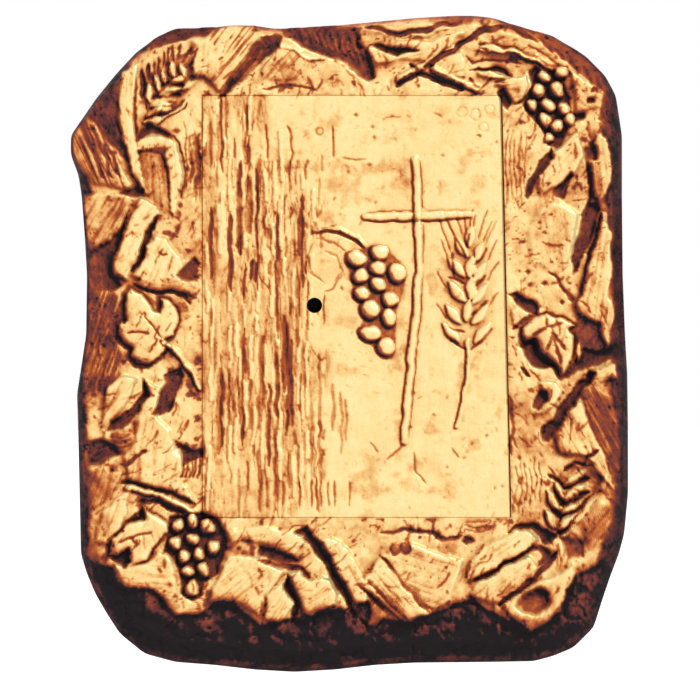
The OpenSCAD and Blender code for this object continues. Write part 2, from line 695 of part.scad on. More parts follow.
// The bolt: a square head that throws to the left, and a tail with a rack on its upper edge
module lock_bolt() {
    line_z = key_z - pitch_r;
    root_z = line_z - dedendum;
    top_z = line_z + addendum;
    half_pitch = tooth_pitch / 4 - backlash / 4;
    half_root = half_pitch + dedendum * tan(pressure_angle);
    half_top = half_pitch - addendum * tan(pressure_angle);
    slot_r = guide_r + 0.1;
    color("lightgray") difference() {
        union() {
            slab([[bolt_tip_x, bolt_low_z], [head_end_x, bolt_low_z], [head_end_x, bolt_high_z],
                  [bolt_tip_x, bolt_high_z]], bolt_front_y, bolt_rear_y);
            slab([[head_end_x - over, bolt_low_z], [tail_end_x, bolt_low_z], [tail_end_x, root_z],
                  [head_end_x - over, root_z]], bolt_front_y, bolt_rear_y);
            for (k = [-5 : 4]) {
                x = key_x + tooth_pitch * (k + 0.5);
                slab([[x - half_root, root_z - 0.5], [x + half_root, root_z - 0.5],
                      [x + half_root, root_z], [x + half_top, top_z], [x - half_top, top_z],
                      [x - half_root, root_z]], bolt_front_y, bolt_rear_y);
            }
        }
        for (g = guide_pins) {
            y0 = bolt_front_y - over;
            y1 = bolt_rear_y + over;
            rod_y(g[0], g[1], slot_r, y0, y1);
            rod_y(g[0] + bolt_travel, g[1], slot_r, y0, y1);
            block([g[0], y0, g[1] - slot_r], [g[0] + bolt_travel, y1, g[1] + slot_r]);
        }
    }
}

pin_circle_r = 3.3;
pin_count = 7;
tumbler_r = 0.7;
plug_front_y = lock_plate_rear_y + 0.3;
clip_y = case_rear_y + 0.2;
clip_t = 1;
clip_groove_r = 3.4;

// The plug: a seat for a round key in front, and a journal that carries the pinion behind
module lock_plug() {
    seat_y = plug_front_y + 4;
    color("khaki") difference() {
        union() {
            rod_y(key_x, key_z, plug_r, plug_front_y, barrel_rear_y);
            rod_y(key_x, key_z, journal_r, barrel_rear_y, clip_y + clip_t + 0.6);
        }
        difference() {
            rod_y(key_x, key_z, pin_circle_r + 0.9, plug_front_y - over, seat_y);
            rod_y(key_x, key_z, pin_circle_r - 0.9, plug_front_y - 2 * over, seat_y + over);
        }
        block([key_x - 0.8, plug_front_y - over, key_z + pin_circle_r],
              [key_x + 0.8, plug_front_y + 2, key_z + plug_r - 0.6]);
        for (i = [0 : pin_count - 1]) {
            p = polar(pin_circle_r, i * 360 / pin_count);
            rod_y(key_x + p[0], key_z + p[1], tumbler_r + slip, seat_y - over, seat_y + 2);
        }
        difference() {
            rod_y(key_x, key_z, journal_r + over, clip_y, clip_y + clip_t);
            rod_y(key_x, key_z, clip_groove_r, clip_y - over, clip_y + clip_t + over);
        }
    }
}

module tumbler_pins() {
    color("silver") for (i = [0 : pin_count - 1]) {
        p = polar(pin_circle_r, i * 360 / pin_count);
        rod_y(key_x + p[0], key_z + p[1], tumbler_r, plug_front_y + 1.6, plug_front_y + 6);
    }
}

module plug_clip() {
    inner_r = clip_groove_r + slip;
    color("dimgray") difference() {
        rod_y(key_x, key_z, 6.2, clip_y + 0.05, clip_y + clip_t - 0.05);
        rod_y(key_x, key_z, inner_r, clip_y - over, clip_y + clip_t + over);
        block([key_x - inner_r, clip_y - over, key_z - 8],
              [key_x + inner_r, clip_y + clip_t + over, key_z]);
    }
}

surround_casting();
subframe_ring();
box_shell();
inner_liner();
upper_pivot_bush();
lower_pivot_bush();
thrust_washer();
strike_plate();
strike_screws();
surround_studs();
stud_washers();
stud_nuts();
stop_pads();
door_casting();
door_back_plate();
back_plate_screws();
upper_pivot_pin();
lower_pivot_pin();
pivot_grub_screws();
lock_plate();
lock_plate_screws();
lock_case();
lock_case_screws();
lock_barrel();
bolt_guide_pins();
lock_bolt();
lock_plug();
plug_pinion();
plug_clip();
tumbler_pins();
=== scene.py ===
"""Looks of a cast-bronze wall tabernacle: relief surround, relief door and the metal parts behind them."""

import json
import math

import bpy
import numpy as np
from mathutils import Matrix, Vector
from mathutils.geometry import tessellate_polygon


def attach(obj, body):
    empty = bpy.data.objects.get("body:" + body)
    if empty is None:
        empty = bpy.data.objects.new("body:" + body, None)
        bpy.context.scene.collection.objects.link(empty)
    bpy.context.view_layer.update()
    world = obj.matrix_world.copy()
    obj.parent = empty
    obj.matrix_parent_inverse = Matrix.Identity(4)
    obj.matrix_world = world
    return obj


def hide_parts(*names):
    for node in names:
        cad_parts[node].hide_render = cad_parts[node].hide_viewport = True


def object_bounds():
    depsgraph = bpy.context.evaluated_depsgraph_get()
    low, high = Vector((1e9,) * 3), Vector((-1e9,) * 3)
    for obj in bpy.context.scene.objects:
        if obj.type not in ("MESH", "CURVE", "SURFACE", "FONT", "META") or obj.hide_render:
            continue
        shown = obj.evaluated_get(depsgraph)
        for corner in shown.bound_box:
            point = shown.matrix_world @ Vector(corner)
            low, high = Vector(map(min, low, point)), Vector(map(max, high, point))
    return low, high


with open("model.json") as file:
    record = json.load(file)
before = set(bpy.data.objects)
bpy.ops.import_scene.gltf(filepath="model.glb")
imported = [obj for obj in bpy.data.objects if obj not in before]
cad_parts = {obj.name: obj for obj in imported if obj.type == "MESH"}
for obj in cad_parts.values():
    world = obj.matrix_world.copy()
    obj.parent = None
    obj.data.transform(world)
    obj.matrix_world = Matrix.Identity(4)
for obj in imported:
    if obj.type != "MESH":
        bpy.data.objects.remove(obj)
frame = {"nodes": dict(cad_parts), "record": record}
cad_lo, cad_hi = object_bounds()
nodes = frame["nodes"]

# Lengths are in millimetres from the centre of the doorway on the wall plane, except where metres are named
MM = 0.001
# Relief plane, back of the door's casting, ceiling of the surround's hollow, and its face on the subframe
FRONT_Y = -30.0
DOOR_REAR_Y = -18.0
HOLLOW_Y = -23.0
FRAME_Y = -14.0
HINGE_X = 86.5
HINGE_Y = -24.0
# The door's right edge leans out by its splay from top to bottom
DOOR_LEFT = -98.7
DOOR_RIGHT = 95.7
DOOR_SPLAY = 6.0
DOOR_TOP = 137.2
DOOR_BOTTOM = -136.7
DOOR = [(DOOR_LEFT, DOOR_TOP), (DOOR_RIGHT, DOOR_TOP), (DOOR_RIGHT + DOOR_SPLAY, DOOR_BOTTOM),
        (DOOR_LEFT, DOOR_BOTTOM)]
# The doorway is wider than the door by a gap at each side and at each end
SIDE_GAP = 0.35
END_GAP = 0.25
WAY = [(x + right * SIDE_GAP, z + up * END_GAP)
       for (x, z), right, up in zip(DOOR, (-1, 1, 1, -1), (1, 1, -1, -1))]
KEYHOLE = (-26.0, 1.0)
KEYHOLE_R = 5.0
# Stud bosses, and pivot blocks as left, low, right and high, on the back of the surround
STUDS = ((-117, 95), (117, 95), (-117, -95), (117, -95), (0, 153), (0, -153))
BOSS_R = 7.0
PIVOT_BLOCKS = ((77.5, 137.97, 95.5, 152.9), (77.5, -152.5, 95.5, -137.57))
# Walls of the surround round the doorway and round its outer edge, seen from behind
REVEAL_WALL = 8.0
BACK_RIM = 13.0

# ---- the relief as a map of heights over the relief plane and a map of patina and painted shade ---
CELL = 0.5
X_LOW, X_HIGH, Z_LOW, Z_HIGH = -190.0, 185.0, -243.0, 195.0
grid_x = np.arange(X_LOW, X_HIGH + CELL, CELL)
grid_z = np.arange(Z_LOW, Z_HIGH + CELL, CELL)
X, Z = np.meshgrid(grid_x, grid_z)

# Levels of patina and of painted shade, from polished gilt to black
PALE, CREAM, AMBER, ORANGE, RUST, BROWN, DARK, BLACK = 0.05, 0.14, 0.27, 0.4, 0.5, 0.6, 0.71, 0.82


def smooth(v):
    """A soft step from 0 to 1."""
    v = np.clip(v, 0.0, 1.0)
    return v * v * (3.0 - 2.0 * v)


def noise(u, v, seed):
    """Smooth noise from -1 to 1 with one random value at each whole number."""
    table = np.random.default_rng(seed).uniform(-1.0, 1.0, (256, 256))
    iu = np.floor(u).astype(int)
    iv = np.floor(v).astype(int)
    fu = smooth(u - iu)
    fv = smooth(v - iv)
    a = table[iv % 256, iu % 256]
    b = table[iv % 256, (iu + 1) % 256]
    c = table[(iv + 1) % 256, iu % 256]
    d = table[(iv + 1) % 256, (iu + 1) % 256]
    low = a + (b - a) * fu
    high = c + (d - c) * fu
    return low + (high - low) * fv


def layers(x, z, size, seed, count=4):
    """Noise summed over halving sizes."""
    total = np.zeros(np.shape(x))
    for i in range(count):
        total += noise(x / size + 17.3 * i, z / size - 9.1 * i, seed + i) / 2 ** i
        size /= 2.1
    return total / 1.5


def blur(field, radius):
    """Gaussian blur by a radius in millimetres."""
    reach = int(3 * radius / CELL)
    taps = np.exp(-0.5 * (np.arange(-reach, reach + 1) * CELL / radius) ** 2)
    taps /= taps.sum()
    for axis in (0, 1):
        pad = [(reach, reach) if a == axis else (0, 0) for a in (0, 1)]
        wide = np.pad(field, pad, mode="edge")
        out = np.zeros_like(field)
        for k, w in enumerate(taps):
            cut = [slice(None), slice(None)]
            cut[axis] = slice(k, k + field.shape[axis])
            out += w * wide[tuple(cut)]
        field = out
    return field


# The drawing plane is warped a little, so that no drawn edge is straight
off_door = smooth((np.maximum(np.abs(X) - 97, np.abs(Z) - 136)) / 4)
WX = X + (1 + 0.7 * off_door) * (0.8 * noise(X / 8.0, Z / 8.0, 1) + 0.28 * noise(X / 2.3, Z / 2.3, 2))
WZ = Z + (1 + 0.7 * off_door) * (0.8 * noise(X / 8.0, Z / 8.0, 3) + 0.28 * noise(X / 2.3, Z / 2.3, 4))
LUMPS = layers(X, Z, 9.0, 11, 4)
GRIT = layers(X, Z, 2.4, 21, 2)
HEIGHT = np.zeros_like(X)
TONE = np.zeros_like(X)


def window(points, margin):
    """The rows and columns of the maps that hold the points and a margin."""
    pts = np.array(points, float)
    lo = pts.min(0) - margin
    hi = pts.max(0) + margin
    i0 = max(0, int((lo[0] - X_LOW) / CELL))
    i1 = min(len(grid_x), int((hi[0] - X_LOW) / CELL) + 2)
    j0 = max(0, int((lo[1] - Z_LOW) / CELL))
    j1 = min(len(grid_z), int((hi[1] - Z_LOW) / CELL) + 2)
    return (slice(j0, j1), slice(i0, i1))


def line_distance(x, z, points, closed=False):
    """Distance to a line of points, and how far along it the nearest place is, from 0 to 1."""
    ends = list(points[1:]) + ([points[0]] if closed else [])
    best = np.full(x.shape, 1e9)
    along = np.zeros(x.shape)
    lengths = [math.dist(a, b) for a, b in zip(points, ends)]
    total = sum(lengths)
    run = 0.0
    for (ax, az), (bx, bz), length in zip(points, ends, lengths):
        dx = bx - ax
        dz = bz - az
        t = np.clip(((x - ax) * dx + (z - az) * dz) / (length * length + 1e-9), 0.0, 1.0)
        d = np.hypot(x - ax - t * dx, z - az - t * dz)
        nearer = d < best
        best = np.where(nearer, d, best)
        along = np.where(nearer, (run + t * length) / total, along)
        run += length
    return best, along


def depth_inside(x, z, points):
    """Distance in from the edge of a closed shape, negative outside."""
    odd = np.zeros(x.shape, bool)
    for (ax, az), (bx, bz) in zip(points, list(points[1:]) + [points[0]]):
        if az == bz:
            continue
        crosses = (az > z) != (bz > z)
        odd ^= crosses & (x < (bx - ax) * (z - az) / (bz - az) + ax)
    d = line_distance(x, z, points, closed=True)[0]
    return np.where(odd, d, -d)


def grain_lines(win, angle, width, length, seed):
    """Fine parallel lines, from -1 to 1, that run at an angle from the horizontal."""
    c = math.cos(math.radians(angle))
    s = math.sin(math.radians(angle))
    along = X[win] * c + Z[win] * s
    across = Z[win] * c - X[win] * s
    fine = noise(along / length, across / width, seed)
    return 0.65 * fine + 0.45 * noise(along / (length * 0.5), across / (width * 0.45), seed + 1)


def paint(win, mask, tone):
    """Lay a tone over what is there, as far as the mask says; the tones hold patina and painted shade."""
    TONE[win] += (tone - TONE[win]) * mask


def stone(points, height, tone=PALE, lean=(0, 0), soft=2.0, lines=None):
    """A raised stone or facet. lean tilts its face, and lines = (angle, depth, tone) scores it.

    Without lines, it is scored lightly along its longest edge.
    """
    win = window(points, soft + 2)
    mask = smooth(depth_inside(WX[win], WZ[win], points) / soft + 0.5)
    middle = np.mean(np.array(points, float), 0)
    top = height + lean[0] * (X[win] - middle[0]) + lean[1] * (Z[win] - middle[1])
    top = top + 0.5 * LUMPS[win] + 0.15 * GRIT[win]
    face = tone + 0.05 * LUMPS[win] + np.zeros_like(top)
    if not lines:
        a, b = max(zip(points, points[1:]), key=lambda pair: math.dist(*pair))
        lines = (math.degrees(math.atan2(b[1] - a[1], b[0] - a[0])), 0.3, 0.17)
    cut = grain_lines(win, lines[0], 1.5, 22.0, int(abs(middle[0] * 7 + middle[1])) + 5)
    deep = np.clip(cut, 0, 1)
    top = top - lines[1] * deep
    face = face + lines[2] * smooth(deep * 1.6)
    HEIGHT[win] += (top - HEIGHT[win]) * mask
    paint(win, mask, face)


def pit(points, depth, tone=DARK, soft=1.6, rough=0.4):
    """A sunk area with a dark floor."""
    win = window(points, soft + 2)
    inside = depth_inside(WX[win], WZ[win], points)
    mask = smooth(inside / soft + 0.5)
    floor = -depth + rough * LUMPS[win]
    HEIGHT[win] += (floor - HEIGHT[win]) * mask
    core = smooth(inside / (soft + 2.6) + 0.25)
    a, b = max(zip(points, points[1:]), key=lambda pair: math.dist(*pair))
    grain = grain_lines(win, math.degrees(math.atan2(b[1] - a[1], b[0] - a[0])), 1.4, 16.0, len(points) + 300)
    paint(win, mask, 0.42 + (tone - 0.42) * core + 0.1 * GRIT[win] + 0.07 * LUMPS[win] + 0.14 * grain * core)


def stain(points, tone, soft=4.0, strength=0.8):
    """Colour only."""
    win = window(points, soft + 2)
    mask = smooth(depth_inside(WX[win], WZ[win], points) / soft + 0.5)
    paint(win, mask * strength * np.clip(0.75 + 0.5 * LUMPS[win], 0, 1), tone)


def groove(points, width=1.6, depth=1.2, tone=BROWN, taper=True):
    """A cut along a line, fading at its ends."""
    win = window(points, width + 2)
    d, along = line_distance(WX[win], WZ[win], points)
    half = width / 2 * (np.clip(np.minimum(along, 1 - along) * 6 + 0.45, 0, 1) if taper else 1)
    mask = smooth((half + 0.5 - d) / 1.0)
    HEIGHT[win] -= depth * mask
    paint(win, mask * 0.92, np.maximum(tone, TONE[win]))


def ridge(points, width=3.0, height=1.5, tone=PALE, shadow_tone=BROWN, taper=0.0):
    """A raised rounded rib with painted shadow along its left and lower edge."""
    win = window(points, width + 3)
    # A copy shifted to the lower left is laid first in the shadow tone, as painted shadow
    d, along = line_distance(WX[win] + 0.9, WZ[win] + 0.7, points)
    half = width / 2 * (1 - taper * along)
    paint(win, smooth((half + 1.0 - d) / 1.0), np.maximum(shadow_tone, TONE[win]))
    d, along = line_distance(WX[win], WZ[win], points)
    half = width / 2 * (1 - taper * along)
    round_top = np.sqrt(np.clip(1 - (d / (half + 0.3)) ** 2, 0, 1))
    mask = smooth((half + 0.4 - d) / 0.8)
    HEIGHT[win] += mask * (height * round_top + 0.2 * GRIT[win])
    paint(win, mask, tone + 0.08 * (1 - round_top))


def dome(x, z, rx, rz, height, base, tone, shade):
    """A berry: an elliptical dome with painted light at its upper right, painted shade towards its lower left
    and a dark rim of painted shade round it.
    """
    win = window([(x - rx, z - rz), (x + rx, z + rz)], 3.0)
    u = (WX[win] - x) / rx
    v = (WZ[win] - z) / rz
    r = np.hypot(u, v)
    mean = (rx + rz) / 2
    # A ring of painted shade round the berry
    paint(win, smooth((1 + 1 / mean - r) * mean / 0.9) * 0.9, np.maximum(shade, TONE[win]))
    mask = smooth((1 - r) * mean / 0.7 + 0.5)
    top = base + height * np.sqrt(np.clip(1 - np.minimum(r, 1) ** 2, 0, 1)) + 0.25 * GRIT[win]
    HEIGHT[win] += (top - HEIGHT[win]) * mask
    # Painted shade grows away from a point up and right of the middle, which keeps painted light there
    far = smooth((np.hypot(u - 0.2, v - 0.18) - 0.66) / 0.5)
    paint(win, mask, tone + (0.72 - tone) * far)


def kernel(a, b, width, height=2.4, tone=PALE, shadow_tone=BROWN):
    """A wheat grain between two points: a spindle with painted shadow along its lower left edge."""
    win = window([a, b], width + 3)
    # The first pass, shifted to the lower left, lays painted shadow
    for shift, tone_here in ((1.0, shadow_tone), (0.0, tone)):
        d, along = line_distance(WX[win] + shift, WZ[win] + shift * 0.7, [a, b])
        half = width / 2 * np.sin(np.pi * np.clip(along * 0.8 + 0.12, 0, 1)) + 0.15
        mask = smooth((half + 0.4 - d) / 0.8)
        if shift:
            paint(win, mask * 0.95, np.maximum(tone_here, TONE[win]))
        else:
            bulge = np.sqrt(np.clip(1 - (d / (half + 0.3)) ** 2, 0, 1))
            HEIGHT[win] += mask * height * bulge
            paint(win, mask, tone_here + 0.22 * (1 - bulge))


def leaf(points, veins, height):
    """A leaf with a sunk, dark surround shifted to its lower left as painted shadow, cupped lobes and cut
    veins.
    """
    win = window(points, 5.0)
    # The surround is offset to the lower left and painted dark as painted shadow
    d = depth_inside(WX[win] + 0.8, WZ[win] + 0.6, points)
    paint(win, smooth((d + 2.6) / 1.4) * 0.92, np.maximum(BROWN, TONE[win]))
    HEIGHT[win] -= 1.6 * smooth((d + 3.0) / 1.5)
    d = depth_inside(WX[win], WZ[win], points)
    mask = smooth(d / 1.2 + 0.5)
    cup = height - 1.4 * np.exp(-np.clip(d, 0, 9) / 2.2) + 0.5 * LUMPS[win]
    HEIGHT[win] += (cup - HEIGHT[win]) * mask
    paint(win, mask, CREAM + 0.05 * LUMPS[win])
    for width, line in veins:
        groove(line, width, 1.0, BROWN)


def diamond(x, z, across, up):
    """Four corners round a point."""
    return [(x - across, z), (x, z + up), (x + across, z), (x, z - up)]


def arc(x, z, rx, rz, start, end, count):
    """Points along part of an ellipse."""
    return [(x + rx * math.cos(a), z + rz * math.sin(a)) for a in np.linspace(start, end, count)]


def sample(field, x, z):
    """The value of a map between its cells."""
    u = np.clip((np.asarray(x) - X_LOW) / CELL, 0, field.shape[1] - 1.001)
    v = np.clip((np.asarray(z) - Z_LOW) / CELL, 0, field.shape[0] - 1.001)
    iu = u.astype(int)
    iv = v.astype(int)
    fu = u - iu
    fv = v - iv
    low = field[iv, iu] * (1 - fu) + field[iv, iu + 1] * fu
    high = field[iv + 1, iu] * (1 - fu) + field[iv + 1, iu + 1] * fu
    return low * (1 - fv) + high * fv


# Outer edge of the surround at its widest ring, which lies 10 mm in front of the wall
ring_xz = {}
for vertex in nodes["surround_casting"].data.vertices:
    if abs(vertex.co.y / MM + 10.0) < 0.01:
        ring_xz[(round(vertex.co.x / MM, 2), round(vertex.co.z / MM, 2))] = True
outline = sorted(ring_xz, key=lambda p: -math.atan2(p[1], p[0]))


def bottom_share(z):
    """0 above the sloping bottom, rising to 1 at the lowest edge."""
    return np.clip((-150.0 - z) / 88.0, 0.0, None)


# Ground of the surround: a plane that rolls over to the wall round its edge
from_edge = depth_inside(X, Z, outline)
roll_width = 9.0 + 27.0 * np.clip(bottom_share(Z) * 1.6, 0, 1)
roll = np.clip(1.0 - from_edge / (roll_width + 1.5 * LUMPS), 0.0, 1.0)
HEIGHT -= 20.0 * (1.0 - np.sqrt(np.clip(1.0 - roll ** 2, 0, 1)))
HEIGHT += (0.7 * LUMPS + 0.22 * GRIT) * np.clip(from_edge / 6.0, 0, 1)
TONE += 0.2 + 0.17 * layers(X, Z, 16.0, 41, 4)
TONE += 0.5 * smooth((layers(X, Z, 6.0, 51, 3) - 0.38) * 3.0)

# ---- door ground ------------------------------------------------------------------------------
seam_depth = depth_inside(X, Z, DOOR)
on_door = seam_depth > -0.45
door_win = window(DOOR, 1.0)
door_mask = on_door[door_win].astype(float)
HEIGHT[door_win] += (0.22 * LUMPS[door_win] + 0.08 * GRIT[door_win] - HEIGHT[door_win]) * door_mask
door_tone = 0.09 + 0.06 * layers(X, Z, 30.0, 61, 3)[door_win]
door_tone = door_tone + 0.2 * smooth((layers(X, Z, 10.0, 71, 4)[door_win] - 0.2) * 2.2)
TONE[door_win] += (door_tone - TONE[door_win]) * door_mask


def rolled_rim():
    """Dark patina with painted shade where the surface rolls away, at the left, at the right and along the
    whole sloping bottom.
    """
    rim_width = 5.0 + 8.0 * smooth((X - 135) / 25) * smooth((150 - Z) / 20) + 3.0 * LUMPS
    rim_width += 14.0 * smooth((-175 - Z) / 14) + 3.0 * smooth((-X - 140) / 25)
    rim_width -= 4.0 * smooth((Z - 165) / 12)
    edge = smooth((rim_width - from_edge) / 3.5)
    TONE[:] += (1.0 + 0.1 * GRIT - TONE) * edge * 0.95


def top_left():
    """Rough stones, a wheat ear and a curled blade."""
    stone([(-137, 168), (-129, 175.5), (-117, 181), (-83, 183), (-98, 176), (-110, 173), (-125, 170)], -3,
          DARK, (0.02, 0), 2.5, (10, 0.6, 0.1))
    stone([(-98, 176), (-85, 182), (-65, 183), (-61, 172), (-70, 160), (-80, 145), (-84, 138), (-90, 143),
          (-97, 149), (-107, 150), (-106, 158), (-102, 167)], 2.8, CREAM, (-0.03, 0.02), 3, (52, 0.9, 0.42))
    stone([(-104, 172), (-96, 174), (-86, 168), (-88, 150), (-104, 154), (-106, 160)], 3.2, PALE, (0, 0), 4)
    stone([(-186, 112), (-180, 117), (-173, 124), (-165, 115), (-158, 104), (-152, 92), (-148, 84),
          (-144, 75), (-170, 80), (-180, 92), (-186, 103)], 2.4, AMBER, (0.03, 0.03), 3, (-67, 1.3, 0.5))
    for x in (-177, -171, -166):
        groove([(x, 118 + 0.2 * (x + 171)), (x + 7, 102), (x + 13, 84)], 2.2, 1, DARK)
    stone([(-173, 126), (-160, 142), (-152, 148), (-154, 131), (-152, 108), (-146, 94), (-154, 100),
          (-164, 114)], 0.6, DARK, (0, 0.05), 2, (-60, 0.8, 0.12))
    stain([(-153, 106), (-144, 97), (-138, 76), (-145, 76), (-150, 88)], ORANGE, 3)
    stone([(-150, 152), (-142, 157), (-143, 132), (-142.5, 114), (-139.5, 97), (-135, 74), (-138, 72),
          (-143, 85), (-151, 107), (-153.5, 131)], 3, PALE, (0.04, 0), 1.8, (88, 0.4, 0.2))
    groove([(-143, 150), (-142.5, 132), (-141.5, 116), (-140, 100), (-134, 74)], 1.7, 1.6)
    stone([(-140, 105), (-126, 107), (-122, 100), (-119, 62), (-131, 62), (-136, 76)], 0.6, AMBER,
          (0.03, 0))
    stain([(-139, 101), (-126, 101), (-123, 88), (-135, 84)], RUST, 5, 0.7)
    stone([(-141, 109), (-121, 111), (-122, 104), (-130, 103), (-141, 101)], 2, CREAM, (0, 0), 1.6)
    groove([(-141, 101), (-134, 101.5), (-126, 99), (-123, 95), (-121.5, 82), (-119, 64)], 1.5, 1)
    stone([(-121, 111), (-116, 106), (-113.4, 97), (-112.6, 85), (-113.4, 73), (-116.5, 59), (-119, 62),
          (-120.5, 75), (-122.5, 95), (-124, 104)], 3, PALE, (0, 0), 1.8)
    groove([(-119, 113), (-113.5, 106), (-111.5, 97), (-111, 85), (-112, 70)], 1.5)
    pit([(-141.5, 107), (-139, 114), (-134, 117.5), (-126, 115), (-118, 113), (-120, 110), (-126, 112),
          (-132, 112), (-137, 110)], 2.6, DARK, 1.4)
    pit([(-155, 73), (-145, 76), (-137, 77), (-138, 71), (-146, 71)], 2.4)
    stain([(-139, 120), (-129, 118), (-110, 135), (-104, 150), (-108, 160), (-120, 162), (-137, 148)],
          BROWN, 4, 0.75)
    for awn in ([(-118, 170), (-118, 158)], [(-120.5, 168), (-122, 155)], [(-124, 166), (-124, 157)],
            [(-128.5, 162), (-128, 152)], [(-106, 168), (-112, 158)], [(-102, 168), (-108, 155)],
            [(-113, 170), (-115, 160)], [(-131, 158), (-130, 150)]):
        groove(awn, 1.5)
    groove([(-139, 153), (-138, 137)], 3, 2.2, DARK)
    groove([(-135, 157), (-134, 147)], 2.5, 2, DARK)
    groove([(-132, 152), (-132, 147)], 2, 1.6)
    groove([(-130, 118), (-120, 126), (-109, 134)], 3.6, 1.6)
    ridge([(-130, 118), (-120, 126), (-109, 134)], 1.8, 2.2, PALE, DARK)
    for gap in ([(-131, 136), (-122, 138), (-113, 137)], [(-133, 129), (-126, 133), (-120, 133)],
            [(-136, 121), (-130, 124), (-125, 126)], [(-127, 143), (-119, 145), (-112, 143)]):
        groove(gap, 2.6, 2, DARK)
    for a, b in (((-118.5, 145), (-110, 149.5)), ((-126, 137.5), (-114, 141)), ((-132.5, 131), (-117, 134)),
            ((-135, 124.5), (-121, 129.5)), ((-136, 119), (-126, 123)), ((-134.5, 144), (-132.5, 134)),
            ((-129.5, 150), (-127, 140)), ((-124.5, 154), (-122.5, 145)), ((-118.5, 158), (-116.5, 150)),
            ((-112.5, 157), (-109.5, 150)), ((-112, 141), (-105, 146))):
        kernel(a, b, 4.4, 2.6, PALE, DARK)
    pit([(-56, 178), (-51, 170), (-61, 160), (-71, 148), (-79, 140), (-88, 135), (-83, 145), (-75, 157),
          (-67, 169)], 2.4, BROWN, 3)
    groove([(-58, 174), (-66, 162), (-76, 148), (-84, 138)], 2.6, 1.6, DARK)
    for x in range(-110, -99, 3):
        groove([(x, 120 - x * 7 % 11), (x + 0.9, 92), (x, 66 + x * 5 % 13)], 1.5, 0.7, ORANGE)
    groove([(-102, 110), (-101, 92), (-102.5, 76)], 2.8)
    groove([(-105, 104), (-105.5, 90), (-106, 80)], 1.8, 1, RUST)


def top_centre():
    """A dark wedge, crossed sticks and flat stones."""
    stone([(-60, 158), (-49, 168), (-38, 167), (-28, 160), (-36, 150), (-38, 147), (-60, 148)], 1.4, CREAM,
          (0, 0.05), 3, (50, 0.7, 0.3))
    stain([(-60, 158), (-46, 160), (-38, 156), (-38, 148), (-60, 148)], ORANGE, 5)
    pit([(-48, 180), (-28, 183), (-5, 184), (5, 182), (3, 172), (10, 163), (13, 149), (8, 146.5), (2, 150),
          (-5, 157), (-20, 163), (-35, 170), (-46, 175)], 3.2, DARK, 2, 0.9)
    pit([(-8, 163), (2, 166), (10, 160), (13, 149), (8, 147), (2, 151)], 4, DARK, 2.5)
    for i in range(7):
        groove([(-40 + 6.5 * i, 181), (-34 + 6.4 * i, 172 - i * 0.8)], 1.8, 1, BLACK)
    for i in range(9):
        x = -26 + 4.4 * i
        ridge([(x, 178 - 1.2 * i), (x + 3.5, 172 - 2 * i)], 1.3, 0.9, ORANGE, DARK)
    pit([(-60, 175), (-52, 178), (-48, 176), (-49, 168), (-60, 160), (-64, 157), (-61, 166)], 4)
    ridge([(-47, 169), (-38, 167.5), (-28, 161), (-19, 161)], 2.4, 1.4, PALE, RUST)
    groove([(-60, 141), (-42, 143), (-25, 141), (-21, 147)], 1.4, 1)
    stone([(6, 178), (20, 177), (44, 175), (60, 180), (50, 184), (20, 184), (8, 183)], 2, CREAM, (0, 0.04))
    stone([(8, 168), (30, 173), (50, 172), (60, 176), (72, 180), (62, 170), (48, 160), (30, 160),
          (14, 158)], 2.2, CREAM, (0.02, 0), 2.5)
    groove([(8, 182), (20, 179), (30, 178), (45, 179), (58, 183), (70, 186)], 3, 2.4, DARK)
    pit([(10, 170), (18, 170), (28, 167), (42, 166.5), (28, 162.5), (18, 166)], 2.4, BROWN, 1.4)
    stone([(50, 160), (70, 166), (72, 160), (70, 150), (53, 152)], 2, CREAM)
    ridge([(52, 155), (60, 150.5), (71, 145.5), (80, 142)], 4.6, 2.6, PALE, DARK)
    groove([(37, 157), (42, 152), (50, 148.5), (60, 144.5), (69, 141.5)], 3.4, 2.2, DARK)
    ridge([(30, 148), (42, 155), (52, 161), (64, 168)], 4.6, 2.4)
    groove([(28, 144), (35, 148.5), (42, 151.5)], 3.6, 2.2, DARK)
    groove([(46, 156), (55, 162), (65, 168), (77, 176), (84, 180), (97, 181.5)], 3.8, 2.6, DARK)
    stain([(58, 189), (77, 188), (77, 183), (60, 184)], DARK, 3)


